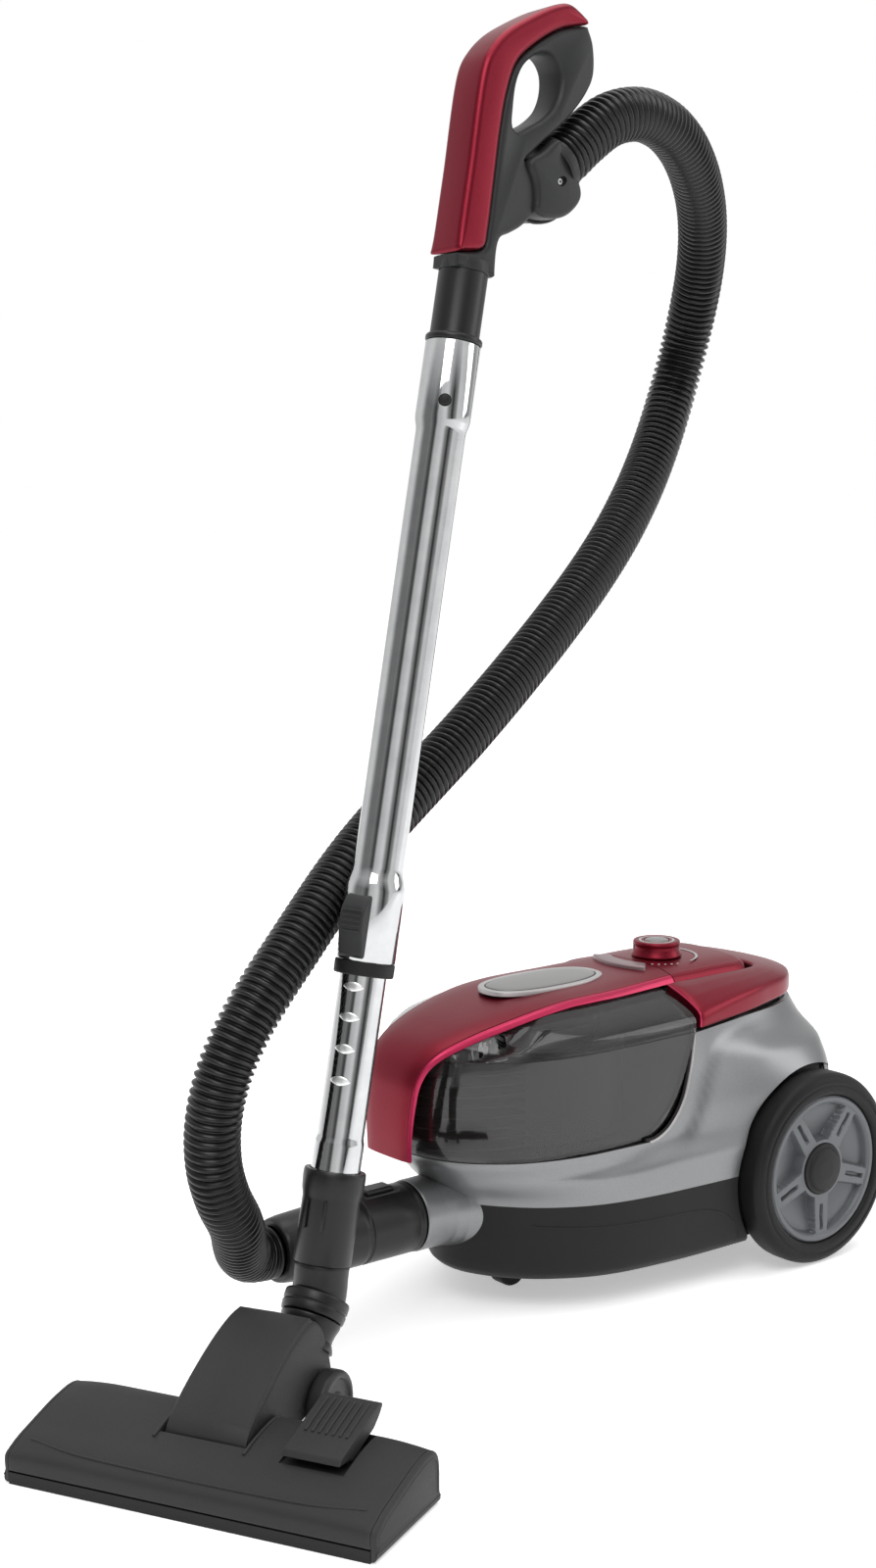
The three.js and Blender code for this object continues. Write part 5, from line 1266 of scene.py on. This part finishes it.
def head_section(y):
    """outline at a distance along the head: the ends droop a little"""
    t = max(0.0, (abs(y) - 96) / 39.0)
    k = 1 - 0.10 * t * t
    q = _tp.copy()
    q[:, 1] = 9.2 + (q[:, 1] - 9.2) * k
    return np.column_stack([q[:, 0], np.full(len(q), y), q[:, 1]])


_ys = np.concatenate([np.linspace(-131, -100, 14), np.linspace(-92, 92, 30), np.linspace(100, 131, 14)])
_v, _f = closed_loft([head_section(y) for y in _ys])
hs = obj_of("head_shell", _v, _f, GREY, HEADF, smooth=40)
_iv = []
for _y in (-126, 126):
    _iv.append(np.array([(x, _y, z) for x, z in [(3.4, 0), (3.2, 17), (8.4, 20.4), (17, 24.0), (40, 31), (66, 36), (81, 37), (88.4, 32), (90.4, 24), (90.4, 0)]]))
_v, _f = closed_loft(_iv)
_c1o = obj_of("cut_y", _v, _f, GREY, HEADF)
_c2o = extr("cut_z", [(39.5, 0), (39.5, 31), (47.6, 47), (60, 60), (120, 60), (120, 0)], NY - NW - 2, NY + NW + 2, GREY, HEADF)
_c3o = cuboid("cut_aa", (36, -95, 33.6), (84, -49, 60), GREY, HEADF)
carve(hs, _c1o, _c2o, _c3o, smooth=38)
_hp3 = [hs]
# raised swoosh ridges on both sides of the neck, and the long shut line at the front
for _y0, _y1 in ((NY + NW + 3.2, NY + NW + 3.2), (NY - NW - 3.2, NY - NW - 3.2)):
    _pts = [(36, _y0, 34.9), (50, _y0, 38.9), (64, _y0, 41.4), (76, _y0, 42.6), (85, _y0, 41.2)]
    _v, _f = tube_along(catmull(_pts, 30), [1.1] * 30, 10)
    _hp3.append(obj_of("ridge", _v, _f, GREY, HEADF))
# long crescent relief across the top front
for _pts in ([(14, -122, 27.0), (9.0, -90, 25.6), (7.5, -40, 25.0), (7.5, 40, 25.0), (9.0, 90, 25.6), (14, 122, 27.0)],):
    _v, _f = tube_along(catmull(_pts, 90), [0.8] * 90, 8)
    _hp3.append(obj_of("relief", _v, _f, GREY, HEADF))
# pedal tray walls
_hp3.append(bevel(cuboid("tray", (36.4, -94.6, 31.6), (83.6, -49.4, 33.8), BLACK, HEADF), 0.4, 1))
hs = join_objs("head_shell_moulded", _hp3)
done(hs, "floor_head", "head_shell", slot="grey")
for _n, _s in (("left", 1), ("right", -1)):
    _rr = []
    for _y, _d in ((131.4, 0.0), (132.6, 0.0), (133.9, 0.5), (134.6, 1.3), (135, 2.6)):
        _q = np.vstack([head_section(_s * 131)[:, [0, 2]], [(93.4, 1.2), (0.8, 1.2)]])
        _q = offset(_q, _d) if _d else _q
        _rr.append(np.column_stack([_q[:, 0], np.full(len(_q), _s * _y), _q[:, 1]]))
    _v, _f = closed_loft(_rr)
    _e = obj_of("end", _v, _f, GREY, HEADF, smooth=40)
    # inner seam line of the bumper
    _q = offset(np.vstack([head_section(_s * 131)[:, [0, 2]], [(93.4, 1.2), (0.8, 1.2)]]), 4.6)
    _q3 = np.column_stack([_q[:, 0], np.full(len(_q), _s * 134.8), _q[:, 1]])
    _v, _f = tube_along(np.vstack([_q3, _q3[:1]]), [0.55] * (len(_q3) + 1), 6)
    _l2 = obj_of("seam", _v, _f, GREY, HEADF)
    _e = join_objs("end_cap_moulded_" + _n, [_e, _l2])
    done(_e, "floor_head", "end_cap_" + _n, slot="grey")

# bristle strip: backing bar with two rows of tufts
_bs = [bevel(cuboid("bar", (13.2, -117, 6.2), (19.8, 117, 9.5), BLACK, HEADF), 0.5, 2)]
for _row in (14.9, 18.1):
    for _k in range(78):
        _y = -115.5 + _k * 3.0
        _v, _f = lathe([(0, 1.0), (1.15, 1.05), (0.95, 6.4), (0, 6.4)], 7)
        _bs.append(obj_of("t", _v + np.array([_row, _y, 0]), _f, BRISTLE, HEADF))
_bs2 = join_objs("brush_tufts", _bs)
done(_bs2, "brush_strip", "brush_strip", slot="black")

# pedal with lengthwise ribs in a recessed field
_pd = [(35.4, 39.5), (38, 43.6), (50, 47.4), (70, 53.8), (88, 59.2), (92.5, 60.0), (96.4, 58.4), (96, 56.6), (92, 52), (84, 46), (62, 39), (58, 35.6), (54, 35.5), (50, 38.5)]
pd = extr("pedal", _pd, -92.6, -51.4, GREY, HEADF)
bevel(pd, 1.8, 4, 25)
_pp2 = [pd]
for _k in range(7):
    _y = -87.0 + _k * 4.9
    _P = [(56, _y, 49.6), (66, _y, 52.9), (78, _y, 56.6), (88, _y, 59.4)]
    _v, _f = tube_along(catmull(_P, 14), [0.95] * 14, 8)
    _pp2.append(obj_of("rib", _v, _f, GREY, HEADF))
pd = join_objs("brush_pedal_ribbed", _pp2)
done(pd, "brush_pedal", "brush_pedal", slot="grey")

# neck housing
_nk = [(43, 31), (49, 41), (62, 52), (84, 66), (108, 78), (128, 85), (142, 86), (152, 78), (157, 66), (163, 52), (166, 40), (160, 30), (140, 24), (110, 20), (84, 15), (60, 12), (48, 14), (43, 22)]
_ring = rounded(_nk, 5.0, 4)
nk = pillow("neck", _ring, 30.0, GREY, HEADF, 3.2, 5)
_np = [nk]
# lighter flat plate on top, with its side folds
_pl = [(44.8, 36.4), (48.2, 42.0), (61.2, 53.2), (83.4, 67.3), (108, 79.6), (128, 86.4), (139, 87.6)]
_pc = catmull(_pl, 40)
_rowsL = []
for _x, _z in _pc:
    _t = (_x - 42) / 97.0
    _hw = 28.4 - 1.6 * _t
    _rowsL.append([(_x, NY - _hw - 1.4, _z - 1.5), (_x, NY - _hw, _z), (_x, NY, _z + 0.5), (_x, NY + _hw, _z), (_x, NY + _hw + 1.4, _z - 1.5)])
_rw = np.array(_rowsL)
_lo = _rw.copy()
_lo[:, :, 2] -= 2.6
_R, _C = _rw.shape[:2]
_v = np.vstack([_rw.reshape(-1, 3), _lo.reshape(-1, 3)])
_f = []
_o5 = _R * _C
for i in range(_R - 1):
    for j in range(_C - 1):
        a = i * _C + j
        _f += [(a, a + 1, a + _C + 1, a + _C), (_o5 + a, _o5 + a + _C, _o5 + a + _C + 1, _o5 + a + 1)]
for j in range(_C - 1):
    a = (_R - 1) * _C + j
    _f += [(j, j + 1, _o5 + j + 1, _o5 + j), (a, a + 1, _o5 + a + 1, _o5 + a)]
for i in range(_R - 1):
    a, b = i * _C, i * _C + _C - 1
    _f += [(a, a + _C, _o5 + a + _C, _o5 + a), (b, b + _C, _o5 + b + _C, _o5 + b)]
_np.append(obj_of("plate", _v, _f, GREY, HEADF, smooth=30))
# hollow swivel socket under the collar, waisted, with a flared foot where it leaves the neck
_v, _f = lathe(rounded([(12, -46), (19.4, -46), (19.6, -38), (19.2, -30), (19.0, -25), (19.6, -21), (20.8, -17.5), (21.3, -15.4), (21.2, -13.9), (14.6, -13.4), (14.5, -2), (12, -2)], 1.2, 4), 90, True)
_np.append(obj_of("socket", _v, _f, SATIN, SWF, smooth=45))
_v, _f = lathe(rounded([(18.6, -34), (21.6, -34), (20.8, -31), (19.6, -28.4), (18.8, -27)], 0.8, 3), 90, True)
_np.append(obj_of("foot", _v, _f, SATIN, SWF, smooth=45))
for _s in (-1, 1):
    _v, _f = lathe([(0, 0), (3, 0), (3, 13.5), (0, 13.5)], 24)
    _np.append(obj_of("axle", _v, _f, BLACK, Fr(HEADF([146, NY + _s * 29.5, 25]), HB, np.cross(HY * _s, HB), HY * _s)))
    _v, _f = lathe([(0, 0), (4, 0), (4, 1.9), (0, 1.9)], 24)
    _np.append(obj_of("piv", _v, _f, BLACK, Fr(HEADF([58, NY + _s * 29.6, 26]), HB, np.cross(HY * _s, HB), HY * _s)))
# the nk outline is centred on y = 0; move it to the neck's middle
nk.data.transform(Matrix.Translation(Vector(tuple(HY * NY / 1000.0))))
nk = join_objs("neck_housing_moulded", _np)
done(nk, "neck", "neck_housing", slot="grey")
for _n, _s in (("left", 1), ("right", -1)):
    _c = HEADF([146, NY + _s * 37.5, 25])
    _v, _f = lathe(rounded([(3.4, -6.5), (21.8, -6.5), (24.2, -5.6), (25, -3.4), (25, 3.4), (24.2, 5.6), (21.8, 6.5), (19.8, 6.3), (18.6, 4.2), (10.4, 4.2), (9.2, 5.6), (3.4, 5.6)], 0.8, 3), 96, True)
    _w2 = obj_of("nw", _v, _f, GREYS, Fr(_c, HB, np.cross(HY * _s, HB), HY * _s), smooth=45)
    _w2.name = "neck_wheel_turned_" + _n
    done(_w2, "neck_wheel_" + _n, "neck_wheel_" + _n, slot="grey")

# ------------------------------------------------------------------ CAD nodes that stay: edges and finishes
KEEP = {"bin_cradle": BLACK, "top_frame": BLACK, "inlet_duct": BLACK, "port_seal": RUBBER, "castor_fork": BLACK, "castor_wheel": RUBBER, "wheel_axle_left": STEEL, "wheel_axle_right": STEEL,
        "motor_housing": BLACK, "motor_body": STEEL, "motor_fan": STEEL, "cord_reel": BLACK, "exhaust_filter": FOAM, "exhaust_grille": BLACK, "cord_outlet": BLACK, "sole_plate": BLACK}
for _n, _mt in KEEP.items():
    o = NODES[_n]
    o.data.materials.clear()
    o.data.materials.append(_mt)
    if _n not in ("motor_body", "motor_fan", "motor_housing", "cord_reel"):
        bevel(o, 0.6 if _n != "sole_plate" else 1.0, 2, 40)

# ------------------------------------------------------------------ floor and light
bpy.context.scene.view_settings.view_transform = "Standard"
floor_me = bpy.data.meshes.new("floor")
floor_me.from_pydata([(-9, -9, 0), (9, -9, 0), (9, 9, 0), (-9, 9, 0)], [], [(0, 1, 2, 3)])
floor = bpy.data.objects.new("floor", floor_me)
COL.objects.link(floor)
_m, _nt, _b = nodes_of("floor_pale")
_n = noise(_nt, 3.0, 2.0, 0.5)
_c = ramp(_nt, _n.outputs["Fac"], [(0.3, (0.88, 0.88, 0.88)), (0.7, (0.90, 0.90, 0.90))])
_nt.links.new(_c.outputs["Color"], _b.inputs["Base Color"])
_b.inputs["Roughness"].default_value = 0.8
_b.inputs["Specular IOR Level"].default_value = 0.1
_b.inputs["Emission Color"].default_value = (1, 1, 1, 1)
_b.inputs["Emission Strength"].default_value = 0.42
floor_me.materials.append(_m)

world = bpy.data.worlds.new("studio")
bpy.context.scene.world = world
world.use_nodes = True
wn = world.node_tree
bg = wn.nodes["Background"]
bg.inputs["Strength"].default_value = 1.0
tc = wn.nodes.new("ShaderNodeTexCoord")
sep = wn.nodes.new("ShaderNodeSeparateXYZ")
wn.links.new(tc.outputs["Generated"], sep.inputs["Vector"])
at = wn.nodes.new("ShaderNodeMath")
at.operation = "ARCTAN2"
wn.links.new(sep.outputs["Y"], at.inputs[0])
wn.links.new(sep.outputs["X"], at.inputs[1])
mr = wn.nodes.new("ShaderNodeMapRange")
mr.inputs["From Min"].default_value, mr.inputs["From Max"].default_value = -math.pi, math.pi
wn.links.new(at.outputs["Value"], mr.inputs["Value"])
# azimuth bands: bright softboxes and dark gaps for the bright metal and the gloss
# position 0..1 is azimuth -180..180 degrees; the camera looks from about -129 degrees
rp = wn.nodes.new("ShaderNodeValToRGB")
rp.color_ramp.interpolation = "EASE"
stops = [(0.0, 0.30), (0.06, 0.08), (0.10, 0.75), (0.17, 0.95), (0.215, 0.30), (0.245, 0.05), (0.28, 0.30), (0.315, 0.9), (0.40, 0.75), (0.44, 0.10), (0.47, 0.45), (0.56, 0.85), (0.70, 0.75), (0.84, 0.9), (0.93, 0.25)]
while len(rp.color_ramp.elements) < len(stops):
    rp.color_ramp.elements.new(0.5)
for e, (p, c) in zip(rp.color_ramp.elements, stops):
    e.position = p
    e.color = (c, c, c, 1)
wn.links.new(mr.outputs["Result"], rp.inputs["Fac"])
up = wn.nodes.new("ShaderNodeMapRange")
up.inputs["From Min"].default_value, up.inputs["From Max"].default_value = 0.35, 0.95
wn.links.new(sep.outputs["Z"], up.inputs["Value"])
mixz = wn.nodes.new("ShaderNodeMix")
mixz.data_type = "RGBA"
wn.links.new(up.outputs["Result"], mixz.inputs[0])
wn.links.new(rp.outputs["Color"], mixz.inputs[6])
mixz.inputs[7].default_value = (0.9, 0.9, 0.9, 1)
lp = wn.nodes.new("ShaderNodeLightPath")
mixc = wn.nodes.new("ShaderNodeMix")
mixc.data_type = "RGBA"
wn.links.new(lp.outputs["Is Camera Ray"], mixc.inputs[0])
wn.links.new(mixz.outputs[2], mixc.inputs[6])
mixc.inputs[7].default_value = (1, 1, 1, 1)
wn.links.new(mixc.outputs[2], bg.inputs["Color"])


def area(name, loc, target, size, power, size_y=None):
    d = bpy.data.lights.new(name, "AREA")
    d.energy = power
    d.size = size
    if size_y:
        d.shape = "RECTANGLE"
        d.size_y = size_y
    o = bpy.data.objects.new(name, d)
    o.location = loc
    o.rotation_euler = (Vector(target) - Vector(loc)).to_track_quat("-Z", "Y").to_euler()
    COL.objects.link(o)
    return o


area("key", (-1.6, -1.4, 2.8), (0, 0, 0.3), 1.6, 34)
area("top", (0.4, 0.2, 3.2), (0, 0, 0.2), 2.4, 34)
area("side", (2.4, -1.4, 1.4), (0, 0, 0.3), 1.2, 16, 1.8)
